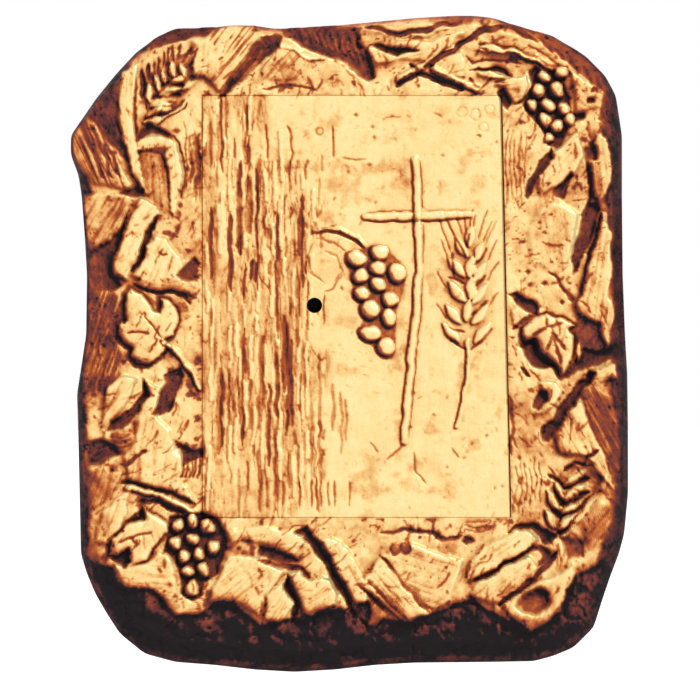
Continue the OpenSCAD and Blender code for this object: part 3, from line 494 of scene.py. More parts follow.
def top_right():
    """A chiselled edge stone, folds, and a bunch of grapes in a dark hollow."""
    stone([(96, 183), (120, 173), (130, 165), (140, 157), (150, 148), (158, 140), (166, 140), (160, 153),
          (148, 165), (129, 177), (104, 184)], -1.5, BROWN, (-0.05, -0.05), 3, (-38, -1, -0.34))
    pit([(96, 182), (103, 184), (98, 178)], 2, BLACK, 1.2)
    for k in range(7):
        groove([(103 + 9 * k, 181 - 3.2 * k - 0.35 * k * k), (112 + 8.4 * k, 176 - 4.6 * k - 0.3 * k * k)],
                1.6, 0.7, DARK)
    for k in range(6):
        groove([(112 + 8 * k, 171 - 4.6 * k - 0.3 * k * k), (121 + 7.6 * k, 165.5 - 5 * k - 0.2 * k * k)],
                1.3, 0.6)
    stone([(78, 168), (86, 164), (100, 164), (110, 161), (128, 154), (131, 156), (118, 163), (104, 168),
          (86, 172)], 2.6, PALE, (0, 0.02), 1.6)
    groove([(81, 169), (86, 165), (100, 165), (108, 162), (118, 158), (128, 154)], 1.6, 1.6)
    groove([(80, 171), (90, 171), (104, 168), (116, 163), (126, 157), (133, 156)], 1.8, 1.6)
    groove([(73, 162), (76, 158), (86, 161), (97, 160), (108, 158)], 1.4)
    pit([(74, 154), (85, 154.5), (92, 156.5), (98, 154), (103, 149), (99, 150), (92, 153), (84, 152)], 3,
          DARK, 1.2)
    stone([(78, 152), (88, 153), (96, 150), (99, 148), (88, 148), (80, 149)], 2.6, PALE, (0, 0), 1.4)
    groove([(74, 149), (77, 144), (81, 142)], 1.8, 1.4)
    groove([(92, 145), (102, 147), (112, 147)], 1.8, 1.4)
    stone([(92, 144), (100, 148), (112, 150), (112, 144), (108, 134), (104, 133), (98, 142)], 2.6, CREAM)
    pit([(93, 139), (97, 141.5), (102, 133), (100, 127), (96, 132)], 3, DARK, 1.2)
    pit([(114, 152), (118, 156), (122, 153), (130, 155), (139, 151), (136, 145), (139, 136), (141, 126),
          (150, 126), (149, 121), (142, 119), (136, 110), (133, 101), (127, 104), (123, 113), (117, 121),
          (110, 126), (109, 133), (104, 132), (112, 138), (115, 144)], 3.4)
    for berry in ((123, 149, 4.4, 5.2), (134, 151.5, 5, 4.2), (119, 139.5, 4.6, 4.8), (131, 141, 5, 5),
            (115, 130, 4.5, 4.6), (125.5, 131, 4.6, 4.6), (135.5, 129, 4.9, 4.9), (124, 120.5, 4.4, 5.5),
            (132, 117, 4.9, 4.9), (140, 121.5, 3.8, 5.4), (127, 109.5, 3.8, 3.8)):
        dome(*berry, 3.6, -1.2, PALE, BLACK)
    stone([(140, 155), (150, 148), (163, 140), (160, 130), (152, 128), (144, 125), (142, 140)], 2.2, AMBER,
          (-0.04, 0.03))
    pit([(155, 144), (159, 143), (158, 140), (154, 141)], 1.6, DARK, 1.4)
    pit([(152, 136), (156, 136), (156, 133), (152, 133)], 1.6, DARK, 1.4)
    pit([(162, 139), (166, 130), (168, 118), (158, 121), (160, 130)], 2, BLACK, 2)
    stone([(157, 113), (164, 109), (167, 95), (167, 82), (163, 73), (159, 67), (156, 72), (154, 85),
          (153, 97)], 3.4, CREAM, (0.05, 0), 1.8, (95, 0.5, 0.2))
    stone([(130, 100), (146, 114), (149, 100), (140, 85), (132, 78), (120, 72), (118, 88), (126, 97)], 2.8,
          CREAM, (0.03, 0.02), 2, (50, 0.4, 0.15))
    pit([(129, 102), (120, 94), (113, 81), (110, 73), (112, 71), (117, 78), (121, 87), (128, 96)], 3.4,
          DARK, 1.2)
    pit([(139, 88), (131, 77), (131, 71), (136, 70), (141, 86)], 2.6, DARK, 1.2)
    groove([(150, 100), (152, 85), (154, 72), (152, 65)], 2, 1.8, DARK)
    pit([(149, 104), (157, 104), (156, 96), (150, 96)], 1.6, BROWN)
    for x in range(99, 112, 3):
        groove([(x, 114 - x * 7 % 9), (x - 0.8, 90), (x, 66 + x * 5 % 11)], 1, 0.6, RUST)


def middle_right():
    """A long upright stone and a vine leaf."""
    pit([(168, 72), (167, 50), (166, 30), (167, 10), (169, -10), (171, -25), (182, -25), (182, 72)], 3,
          BLACK, 4)
    stone([(162, 60), (167, 45), (167, 10), (169, -8), (166, -20), (163, -27), (155, -15), (147, -5),
          (142, 2), (146, 10), (150, 22), (154, 38)], 4.4, CREAM, (0.05, 0), 2.2, (80, 0.5, 0.2))
    groove([(166, 18), (166.5, 5)], 2.2, 1.6, DARK)
    pit([(152, 67), (158, 67), (160, 62), (157, 54), (152, 40), (147, 30), (142, 20), (142, 32), (146, 48),
          (148, 60)], 4)
    groove([(161, 60), (157, 45), (153, 35), (150, 20), (146, 8), (143, 2)], 2.2, 2, DARK)
    stone([(122, 66), (134, 68), (144, 60), (142, 44), (138, 28), (128, 24), (116, 30), (112, 50)], 1.6,
          CREAM, (0.03, 0.03), 4)
    groove([(127, 24), (131, 20), (134, 14), (138, 10), (141, 5)], 1.8)
    for x, z in ((141, 5), (135, 3), (112, 23), (123, 15)):
        pit(diamond(x, z, 2, 1.6), 1.4, DARK, 1.2)
    stone([(102, -2), (108, 3), (116, 1), (124, -2), (118, -8), (108, -14), (102, -12)], 2, CREAM)
    pit([(100, 9), (105, 9), (110, 6), (116, 5), (120, 1), (118, -5), (113, -3), (106, 2)], 3, BLACK, 1.2)
    groove([(118, -4), (110, -9), (102, -15)], 2.6, 1.6)
    pit([(108, -24), (117, -19), (118, -28), (124, -32), (131, -39), (124, -40), (115, -38), (110, -32)],
          3.4, BLACK, 1.2)
    stone([(145, -4), (160, -12), (162, -28), (148, -30), (144, -20)], 0.6, BROWN, (0, 0), 3, (60, 0.8,
          0.2))
    leaf([(117, -7), (110, -14), (109, -18), (110, -24), (117, -20), (119, -24), (118, -29), (121, -33),
          (126, -34), (131, -38), (135, -45), (138, -42), (141, -34), (143, -25), (143, -18), (139, -14),
          (144, -11), (136, -8), (124, -4)], ((2.5, [(125, -12), (130, -11), (135, -11)]), (2, [(125, -12),
          (116, -18)]), (2.5, [(127, -16), (132, -22), (137, -27)]), (2, [(127, -18), (124, -28)]),
          (2, [(128, -20), (132, -29), (135, -37)]), (1.8, [(124, -6), (124.5, -11)])), 3.6)
    pit([(136, -46), (150, -41), (165, -34), (176, -29), (172, -23), (165, -27), (155, -29), (148, -27),
          (142, -37)], 3.6, BLACK)
    stone([(147, -20), (148, -30), (145, -37), (144, -28)], 2, CREAM, (0, 0), 1)
    groove([(108, -40), (114, -45)], 2.6, 1.6, DARK)
    stone([(153, -42), (162, -38), (171, -37), (172, -47), (160, -49), (151, -53)], 2.8, CREAM)


def lower_right():
    """Leaning stones and a wheat ear."""
    stone([(143, -60), (147, -62), (152, -75), (160, -92), (165, -107), (168, -118), (160, -112),
          (150, -97), (133, -95), (130, -85), (137, -72)], 3.4, CREAM, (-0.03, 0.02), 2, (-62, 0.4, 0.15))
    stone([(147, -57), (155, -50), (165, -58), (175, -84), (176, -105), (167, -109), (160, -92),
          (152, -75)], 1.8, DARK, (-0.05, 0), 2, (-62, -1, -0.3))
    stone([(120, -48), (131, -50), (136, -55), (128, -66), (117, -71), (124, -57)], 2.4)
    pit([(151, -43), (138, -60), (128, -72), (121, -80), (122, -88), (128, -84), (135, -75), (143, -63),
          (156, -43)], 4.2)
    pit([(118, -57), (120, -53), (124, -55), (125, -62), (120, -68), (116, -66)], 3, BLACK, 1.2)
    groove([(101.5, -58), (102, -76), (101.5, -95)], 2, 0.8)
    for x, z in ((107, -98), (108, -128)):
        pit(diamond(x, z, 2, 2), 1.4, BROWN, 1.2)
    for x in range(105, 121, 3):
        groove([(x, -98 - x * 7 % 9), (x + 0.8, -114), (x, -124 - x * 3 % 7)], 0.9, 0.6, RUST)
    pit([(132, -110), (140, -104), (152, -106), (160, -112), (158, -126), (146, -142), (134, -148),
          (126, -142), (124, -126)], 1, AMBER, 3)
    for line in ([(126, -108), (133, -112), (138, -118)], [(137, -106), (143, -102), (149, -104)],
            [(150, -97), (158, -94)]):
        groove(line, 2.4, 2, DARK)
    for gap in ([(138, -118), (145, -114), (151, -111)], [(135, -128), (143, -124), (151, -121)],
            [(133, -139), (146, -130), (158, -121)], [(131, -147), (138, -144), (144, -140)], [(128, -131),
            (133, -137)], [(131, -121), (135, -129)]):
        groove(gap, 3, 2.4, DARK)
    for a, b in (((138, -116), (149, -107)), ((137, -125), (149, -116)), ((135, -134), (147, -125)),
            ((132, -143), (144, -134)), ((136, -124), (131, -113)), ((132, -131), (126, -120)),
            ((129, -142), (124, -132)), ((126, -150), (123, -143)), ((150, -103), (156, -97))):
        kernel(a, b, 5.2, 3, PALE, DARK)
    ridge([(136, -149), (150, -133), (163, -112)], 4, 2, CREAM, DARK)
    stone([(148, -140), (160, -126), (168, -128), (166, -148), (152, -158)], 1.6, ORANGE, (0, 0), 4,
          (50, 0.8, 0.3))


def bottom_right():
    """Stones with deep clefts between them."""
    stone([(98, -192), (110, -183), (122, -178), (141, -168), (143, -176), (133, -196), (128, -204),
          (112, -211), (98, -197)], 3.4, CREAM, (0.02, 0.02), 2.4)
    stone([(80, -178), (95, -170), (112, -162), (120, -168), (117, -177), (97, -192), (75, -189)], 3, CREAM,
          (0.02, 0.03), 2.2)
    pit([(105, -194), (108, -188), (113, -185), (120, -184), (126, -187), (127, -192), (124, -197),
          (118, -200), (110, -198)], 1.8, BROWN, 3.4)
    stain([(104, -197), (118, -203), (130, -198), (126, -206), (112, -210), (102, -203)], ORANGE)
    groove([(131, -160), (118, -176), (100, -188), (95, -193)], 3.4, 3, DARK)
    pit([(74, -178), (78, -171), (90, -170), (100, -163), (114, -154), (117, -157), (100, -167), (90, -174),
          (80, -179)], 3, DARK, 1.4)
    stone([(72, -178), (73, -169), (80, -161), (84, -155), (97, -148), (105, -145), (112, -145),
          (119, -150), (115, -156), (103, -163), (90, -171), (76, -178)], 4, PALE, (0.03, 0.03), 1.8,
          (32, 0.4, 0.15))
    pit([(99, -147), (105, -142), (117, -140), (121, -142), (132, -149), (128, -154), (123, -155),
          (120, -148), (115, -144), (106, -145)], 3.2, BLACK, 1.4)
    pit([(115, -157), (120, -159), (122, -163), (120, -168), (125, -166), (127, -160), (121, -155)], 2.6,
          DARK, 1.4)
    pit([(135, -151), (148, -152), (149, -163), (139, -164)], 2.2, BROWN, 2.4)
    pit([(70, -152), (74, -149), (78, -152), (74, -155)], 2.4, BLACK, 1.2)
    for z in (-139, -142, -145):
        groove([(72, z), (80, z - 0.8), (88, z)], 1, 0.6)


def middle_left():
    """Stacked stones and a vine leaf on its stalk."""
    stone([(-176, 74), (-150, 72), (-147, 62), (-150, 48), (-160, 42), (-172, 38), (-178, 52)], 1.4, AMBER,
          (0.03, 0), 2.4, (60, 1, 0.4))
    pit([(-147, 64), (-152, 52), (-160, 42), (-170, 38), (-174, 25), (-173, 4), (-160, 7), (-150, 13),
          (-157, 22), (-158, 30), (-152, 45)], 3.4, DARK, 2)
    stone([(-175, 12), (-160, 10), (-151, 4), (-152, -20), (-153, -45), (-158, -56), (-176, -55),
          (-177, -20)], -0.6, DARK, (0.05, 0), 3, (72, -1, -0.42))
    for x0, z0 in ((-170, 4), (-165, -6), (-161, -14), (-168, -24), (-158, -30), (-164, -40)):
        ridge([(x0, z0), (x0 - 5, z0 - 16)], 1.6, 0.9, ORANGE, DARK)
    stone([(-158, 25), (-157, 33), (-150, 48), (-145, 60), (-140, 70), (-130, 66), (-126, 60), (-133, 52),
          (-136, 42), (-145, 24), (-147, 17), (-156, 20)], 4.4, PALE, (0.03, 0.02), 2, (62, 0.4, 0.15))
    stone([(-131, 45), (-122, 44), (-119, 38), (-113, 30), (-104, 14), (-118, 11), (-130, 15), (-143, 20),
          (-135, 38)], 3, PALE, (0, 0.03), 2.2)
    groove([(-128, 59), (-133, 49), (-135, 40), (-144, 24)], 3, 2.6, DARK)
    pit([(-115, 20), (-109, 27), (-103, 33), (-100, 28), (-103, 19), (-109, 17)], 2.6, BROWN, 1.4)
    groove([(-127, 35), (-124, 33), (-122, 34)], 1.4, 1)
    stone([(-143, 16), (-132, 19), (-120, 18), (-106, 17), (-105, 9), (-120, 10), (-133, 11)], 2.2, AMBER,
          (0, 0.04))
    groove([(-143, 14), (-133, 10), (-120, 9), (-110, 8), (-107, 2)], 2.4, 1.6)
    stain([(-143, 12), (-127, 3), (-120, 5), (-110, 2), (-108, -3), (-116, -4), (-126, -2)], BROWN, 2)
    leaf([(-148, 8), (-144, 12), (-137, 7), (-131, -2), (-127, -4), (-126, 6), (-121, 3), (-116, -2),
          (-115, -10), (-118, -18), (-126, -22), (-122, -26), (-126, -33), (-132, -37), (-141, -36),
          (-145, -32), (-143, -27), (-149, -24), (-154, -18), (-154, -12), (-149, -8)], ((1.2, [(-125, -20),
          (-131, -12), (-137, -2)]), (1.6, [(-134, -18), (-140, -17), (-147, -18)]), (1.3, [(-128, -21),
          (-131, -26), (-133, -30)]), (1, [(-123, -16), (-120, -9)])), 3.4)
    pit([(-152, -9), (-150, -7), (-148, -9), (-150, -11)], 2, BLACK, 1.2)
    ridge([(-124, -22), (-113, -30), (-106, -42), (-101, -53)], 3, 2.2, PALE, BLACK)
    pit([(-124, -44), (-112, -39), (-111, -47), (-121, -55)], 2.6, DARK, 1.4)


def lower_left():
    """Stones, a vine leaf and a bunch of grapes in a dark hollow."""
    stone([(-160, -50), (-150, -45), (-140, -45), (-150, -65), (-165, -80)], 3.2, CREAM, (0, 0.03), 2,
          (58, 0.6, 0.25))
    stone([(-135, -60), (-143, -75), (-142, -88), (-150, -97), (-146, -115), (-125, -120), (-103, -128),
          (-112, -112), (-113, -98), (-118, -90), (-122, -78)], 2.6, CREAM, (0, 0), 2.4, (80, 0.5, 0.2))
    stone([(-136, -47), (-122, -56), (-127, -66), (-133, -72), (-138, -66), (-135, -57)], 3)
    pit([(-137, -46), (-138, -55), (-145, -66), (-158, -74), (-160, -80), (-150, -79), (-141, -68),
          (-134, -58)], 4)
    pit([(-112, -44), (-114, -55), (-119, -69), (-131, -69), (-126, -55), (-120, -45)], 3.6)
    pit([(-178, -88), (-165, -85), (-158, -89), (-152, -95), (-165, -101), (-174, -103)], 3, BLACK, 2)
    stone([(-157, -80), (-146, -80), (-142, -88), (-149, -95), (-158, -90)], 1.6, ORANGE)
    for r in (4, 7, 10):
        groove([(-158, -80 - r), (-152, -82 - r), (-146, -80 - r)], 1.4, 1, RUST)
    groove([(-148, -102), (-142, -97), (-136, -94)], 2.2, 1.8, DARK)
    pit([(-119, -86), (-112, -91), (-104, -93), (-99, -92), (-100, -97), (-112, -103), (-113, -94)], 2.8,
          DARK, 1.4)
    for x in (-112, -109, -106, -104, -101):
        groove([(x, -98), (x - 0.3, -104), (x, -111)], 1.5)
    stone([(-174, -104), (-163, -101), (-160, -107), (-150, -106), (-149, -112), (-158, -122), (-172, -132),
          (-174, -115)], 2.4, ORANGE, (0.02, 0.02), 2.4, (70, 0.9, 0.3))
    stain([(-168, -106), (-160, -108), (-160, -120), (-168, -124)], ORANGE)
    stone([(-147, -118), (-155, -125), (-163, -132), (-168, -152), (-160, -155), (-153, -142),
          (-147, -133)], 2.8, CREAM, (0.03, 0), 2, (70, 0.5, 0.2))
    stain([(-168, -150), (-163, -134), (-158, -132), (-160, -150)], ORANGE)
    groove([(-150, -114), (-134, -118), (-118, -122), (-104, -128)], 2.6, 2)
    ridge([(-147, -118), (-130, -122), (-118, -127), (-105, -133)], 4, 2.2, PALE, DARK)
    groove([(-140, -126), (-128, -128), (-112, -135)], 2.6, 2.2, DARK)
    pit([(-149, -139), (-139, -132), (-136, -140), (-142, -142)], 3, BLACK, 1.4)
    leaf([(-138, -128), (-136, -133), (-130, -136), (-120, -141), (-121, -145), (-127, -150), (-135, -164),
          (-147, -170), (-146, -157), (-153, -161), (-159, -160), (-158, -152), (-148, -140), (-137, -139)],
          ((1.8, [(-153, -153), (-143, -149), (-132, -147)]), (1.4, [(-146, -150), (-142, -156)])), 3.2)
    pit([(-147, -157), (-145, -166), (-148, -170), (-159, -163), (-153, -161)], 3, BLACK, 1.2)
    pit([(-121, -136), (-112, -137), (-99, -134), (-89, -137), (-86, -143), (-83, -158), (-89, -174),
          (-98, -180), (-99, -188), (-106, -192), (-112, -186), (-115, -167), (-124, -159), (-122, -147)],
          3.4)
    for berry in ((-115, -143, 4.7, 4.4), (-105.5, -139.5, 4, 5), (-95.5, -143.5, 5.2, 5.2), (-105, -151, 5,
            4.2), (-117, -154, 5.3, 5.2), (-91.5, -157, 4.1, 5.6), (-111, -162.5, 4.7, 4.5), (-101, -161,
            4.2, 4.9), (-108.5, -172.5, 4.9, 4.6), (-98, -171.5, 4.3, 5.4), (-106, -183.5, 5, 5.4)):
        dome(*berry, 3.8, -1.2, PALE, BLACK)
    stone([(-156, -166), (-148, -170), (-135, -166), (-126, -160), (-119, -166), (-116, -184), (-120, -194),
          (-130, -185), (-150, -183)], 2, CREAM, (0, 0.03), 2.4)
    pit([(-166, -163), (-163, -160), (-160, -163), (-163, -167)], 2, BLACK, 1.4)


def bottom_centre():
    """Leaning stones over the dark rock."""
    stone([(-84, -146), (-60, -143), (-45, -145), (-36, -148), (-31, -153), (-40, -162), (-60, -152),
          (-82, -152)], 2, CREAM, (0, 0), 2.4)
    stone([(-86, -172), (-80, -160), (-62, -162), (-46, -172), (-57, -187), (-62, -200), (-76, -192),
          (-96, -194)], 2.6, CREAM, (0, 0.03), 2.4, (40, 0.4, 0.15))
    pit([(-62, -154), (-40, -161), (-36, -165), (-46, -167), (-62, -160)], 2.8)
    groove([(-62, -164), (-45, -168), (-35, -170), (-28, -177)], 2.8, 2, DARK)
    stone([(-45, -174), (-57, -187), (-60, -203), (-48, -206), (-38, -190)], 3.2, PALE, (0, 0.03), 1.8)
    stone([(-44, -172), (-36, -171), (-30, -177), (-22, -174), (-15, -178), (-11, -185), (-12, -193),
          (-27, -201), (-33, -199), (-37, -188)], 4.4, PALE, (0.03, 0.03), 2.2)
    pit([(-44, -176), (-39, -188), (-36, -200), (-42, -206), (-40, -192), (-46, -180)], 3.4, BLACK, 1.2)
    stain([(-33, -201), (-18, -196), (-2, -199), (-4, -212), (-30, -214)], BROWN)
    stone([(-25, -150), (-10, -152), (5, -173), (8, -192), (2, -194), (-10, -175), (-18, -160)], 3.2, PALE,
          (0.02, 0.03), 1.8, (-62, 0.5, 0.2))
    stone([(16, -160), (38, -154), (70, -164), (62, -190), (50, -197), (30, -176)], 2.4, CREAM, (0, 0.03),
          2.4)
    stone([(8, -175), (17, -161), (49, -198), (35, -206), (15, -190), (3, -182)], 4, PALE, (0.03, 0.03),
          1.6, (-50, 0.8, 0.3))
    pit([(-39, -148), (-32, -142), (-29, -146), (-19, -161), (-8, -181), (2, -199), (-1, -201), (-12, -181),
          (-23, -162), (-33, -148)], 3.8, BLACK, 1.2)
    groove([(16, -160), (30, -178), (48, -198)], 2.2, 2.4, DARK)
    groove([(3, -182), (12, -190), (20, -198)], 1.8, 1.4)
    groove([(8, -178), (22, -192), (34, -203)], 1.6, 1.4)
    pit([(8, -190), (0, -197), (7, -209), (12, -200)], 3.2, BLACK, 1.4)
    stain([(11, -195), (18, -196), (18, -205), (11, -205)], ORANGE, 2)
    for x in (26, 33):
        dome(x, -157, 3.4, 3.4, 1.6, 0.5, BROWN, BLACK)
    groove([(18, -146), (35, -145), (48, -146), (58, -150), (70, -149)], 2.4, 1.6)
    stain([(55, -150), (68, -150), (68, -160), (55, -160)], RUST, 3)
    pit([(96, -210), (100, -207), (104, -210), (100, -213)], 2.2, BLACK, 1.4)


def warm_blots():
    """Orange patina that lies loosely over the stones."""
    for blot in ([(-176, -100), (-164, -98), (-156, -112), (-162, -128), (-176, -130)], [(-168, -130),
            (-156, -132), (-156, -156), (-168, -152)], [(-98, 160), (-60, 160), (-40, 150), (-90, 146)],
            [(-178, 66), (-160, 70), (-156, 50), (-176, 40)], [(108, 72), (140, 76), (150, 50), (120, 30)],
            [(104, -50), (124, -60), (128, -96), (104, -100)], [(-60, -186), (-30, -178), (-20, -198),
            (-58, -200)], [(100, -196), (130, -200), (126, -209), (104, -206)], [(-152, -60), (-128, -62),
            (-124, -92), (-146, -100)], [(146, -120), (168, -116), (166, -150), (148, -150)], [(40, -160),
            (66, -168), (62, -186), (44, -180)]):
        stain(blot, ORANGE, 7, 0.45)


def undercut():
    """Dark, rough rock below a broken edge along the sloping bottom: dark patina with painted shade where the
    bottom slopes away.
    """
    edge_line = [(-182, -166), (-157, -170), (-156, -178), (-150, -183), (-131, -184), (-125, -190),
                 (-116, -201), (-99, -199), (-92, -193), (-80, -191), (-75, -196), (-60, -207), (-44, -203),
                 (-33, -203), (-10, -197), (0, -197), (8, -208), (20, -203), (33, -205), (50, -198),
                 (62, -195), (75, -189), (82, -194), (97, -202), (112, -211), (120, -209), (133, -197),
                 (143, -176), (160, -166), (182, -162), (182, -243), (-182, -243)]
    win = window(edge_line, 4.0)
    mask = smooth(depth_inside(WX[win], WZ[win], edge_line) / 2.5 + 0.5)
    rock = layers(X, Z, 14.0, 81, 4)[win]
    crack = smooth((0.16 - np.abs(layers(X, Z, 11.0, 91, 3)[win])) / 0.14)
    HEIGHT[win] += (-2.6 + 1.8 * rock - 1.2 * crack) * mask
    ember = smooth((layers(X, Z, 12.0, 95, 4)[win] + 0.1) * 1.3)
    ribs = np.clip(noise(X[win] / 2.6, Z[win] / 20.0, 96), 0, 1)
    near_top = smooth(1.0 - depth_inside(X[win], Z[win], edge_line) / 26.0)
    HEIGHT[win] += 0.9 * ribs * near_top * mask
    rock_tone = 0.99 - (0.22 * ember + 0.12 * ribs) * near_top + 0.08 * GRIT[win]
    paint(win, mask * 0.97, rock_tone)
    for x, z, w in ((148, -176, 5), (150, -190, 4)):
        stain(diamond(x, z, w, w), RUST, 5)


def bark_field():
    """Bark-like streaks on the left of the door, which thin out towards the keyhole."""
    rng = np.random.default_rng(2024)
    win = window([(-99, -137), (0, 137)], 0)
    x, z = X[win], Z[win]
    sway = 1.6 * noise(x / 12.0, z / 26.0, 100)
    right = np.where(z > 95, -50.0, -18.0) + 12.0 * noise(z / 17.0, x * 0, 103)
    field = smooth((right - x) / 16.0) * on_door[win]
    for width, length, seed, line, level in ((5.2, 42, 111, 0.1, RUST), (3.1, 26, 121, 0.11, RUST),
            (7.5, 60, 131, 0.06, BROWN), (2.2, 15, 141, 0.12, ORANGE)):
        cells = noise((x + sway) / width, z / length, seed)
        cells = cells + 0.35 * noise(x / width * 1.9, z / length * 2.2, seed + 1)
        cut = smooth((line - np.abs(cells)) / line) * smooth(noise(x / 11.0, z / 30.0, seed + 2) + 0.75)
        HEIGHT[win] += field * (0.35 * np.clip(cells, -0.8, 0.8) - 0.5 * cut)
        paint(win, field * cut * 0.85, np.maximum(level, TONE[win]))
    wash = smooth(0.55 + 0.9 * noise(x / 9.0, z / 48.0, 151) + 0.5 * noise(x / 3.0, z / 22.0, 152))
    paint(win, field * wash * 0.7, np.maximum(0.37, TONE[win]))
    for i in range(150):
        reach = rng.random() ** 0.8
        x = -97.0 + 78.0 * reach
        z = rng.uniform(-128, 132)
        if x > -45 and z > 96:
            continue
        size = rng.uniform(7, 40) * (1.1 - 0.6 * reach)
        width = rng.uniform(0.8, 2.2)
        level = rng.choice([ORANGE, ORANGE, RUST, BROWN])
        bend = rng.uniform(-1.2, 1.2)
        top = min(134.0, z + size / 2)
        low = max(-134.0, z - size / 2)
        groove([(x, top), (x + bend, (top + low) / 2), (x + 0.3 * bend, low)], width, 0.55, level)
    for i in range(90):
        x = rng.uniform(-97, -26)
        z = rng.uniform(-110, 125)
        if x > -45 and z > 96:
            continue
        size = rng.uniform(6, 30)
        ridge([(x, z + size / 2), (x + rng.uniform(-0.8, 0.8), z - size / 2)], rng.uniform(1.4, 2.6), 0.55,
                PALE, ORANGE)
    for line, width, level in (([(-93, 64), (-93.5, 40), (-93, 18)], 2, BROWN), ([(-86, 135), (-86.6, 110),
            (-86, 87)], 1.6, BROWN), ([(-46, -6), (-45, -30), (-46, -56)], 3.4, BROWN), ([(-41, -22),
            (-41.6, -44), (-41, -70)], 2.6, BROWN), ([(-50, -30), (-50.4, -52), (-50, -72)], 2.6, RUST),
            ([(-75, 92), (-75, 60), (-74.4, 34)], 3.6, ORANGE), ([(-69, 84), (-69.4, 66), (-69, 48)], 4,
            ORANGE), ([(-60, -20), (-60.6, -40), (-60, -64)], 3.6, ORANGE), ([(-88, -40), (-88.4, -70),
            (-88, -96)], 3.4, ORANGE), ([(-37, 20), (-37.4, -4), (-37, -26)], 3, ORANGE), ([(-81, 60),
            (-80.4, 36), (-81, 10)], 3.2, BROWN), ([(-63, 90), (-63.6, 50), (-63, 10)], 1.6, BROWN),
            ([(-67, 30), (-67, 18)], 2.2, BLACK), ([(-64, 28), (-64, 16)], 2, BLACK), ([(-50, 60),
            (-51, 20), (-50, -20)], 1.6, BROWN), ([(-44, -10), (-43, -50), (-44, -84)], 2, BROWN),
            ([(-72, -14), (-72.6, -50), (-72, -90)], 1.8, BROWN), ([(-57, 118), (-57, 96)], 1.4, RUST),
            ([(-70, 130), (-70.5, 108), (-70, 92)], 1.6, BROWN), ([(-34, 70), (-34.6, 44), (-34, 12)], 1.5,
            BROWN), ([(-55, -50), (-55.5, -76), (-55, -104)], 2, BROWN)):
        groove(line, width, 1.1, level)
    for x, low, high in ((-23, -100, -40), (-9, -95, -55), (-6, -88, -60), (-28, -96, -62), (-14, -80,
            -50)):
        groove([(x, high), (x + 0.8, (high + low) / 2), (x, low)], 2.4, 0.4, ORANGE)
    for x in (-57, -47, -36, -28, -22, -17, -13, -3):
        groove([(x, -113), (x + 0.4, -121), (x, -130)], 1.4, 0.6, RUST)


def plain_field():
    """Scratches, dots and cast marks on the rest of the door."""
    for line in ([(-43, 118), (-40, 100), (-42, 93)], [(-14, 118), (-13, 97)], [(34, -86), (28, -93),
            (21, -99)], [(39, -95), (40, -108), (47, -115)]):
        groove(line, 1.5, 0.7, RUST)
    for x, z, r, level in ((-23, 114, 2.5, RUST), (70, 127, 3.6, AMBER), (79, 125, 3.4, AMBER), (88, 128,
            3.2, AMBER), (84, 117, 3, AMBER)):
        groove(arc(x, z, r, r, 0, 2 * math.pi, 13), 1.2, 0.5, level, False)
    for x, z, r in ((24, 124, 1.6), (1, 125, 2), (12, 117, 2), (13, 110, 1.6), (10, 92, 1.8), (-13, 70,
            1.4), (14, 68, 1.4), (81, 111, 1.3), (92, 107, 1.3), (76, -89, 1.3), (71, -98, 1.3), (86, -84,
            1.4), (96, -116, 1.3), (91, -118, 1.3), (38, -56, 2.2), (36, -78, 2), (30, 88, 2.6), (33, 80,
            2.6), (58, 98, 1.2), (-4, 88, 1.2), (60, -104, 1.2), (52, -70, 1.2), (-8, 12, 1.4)):
        pit(diamond(x, z, r, r), 0.5, RUST, 1.4)
    for blot in ([(26, 95), (36, 95), (36, 72), (28, 72)], [(12, 126), (34, 129), (36, 121), (14, 119)],
            [(48, 130), (62, 131), (60, 122), (50, 121)], [(4, 112), (12, 114), (12, 106), (4, 105)],
            [(44, 48), (52, 40), (50, 12), (44, 20)], [(-20, 8), (-4, 10), (0, -12), (-14, -16)], [(6, -92),
            (20, -90), (22, -104), (8, -106)], [(44, -92), (58, -96), (56, -112), (44, -108)]):
        stain(blot, AMBER, 5, 0.55)
    for line in ([(18, 122), (24, 124), (30, 123)], [(52, 126), (57, 123)], [(-8, 98), (0, 95), (8, 96)],
            [(10, -88), (16, -94)], [(64, -92), (68, -98)]):
        groove(line, 1.2, 0.4, RUST)


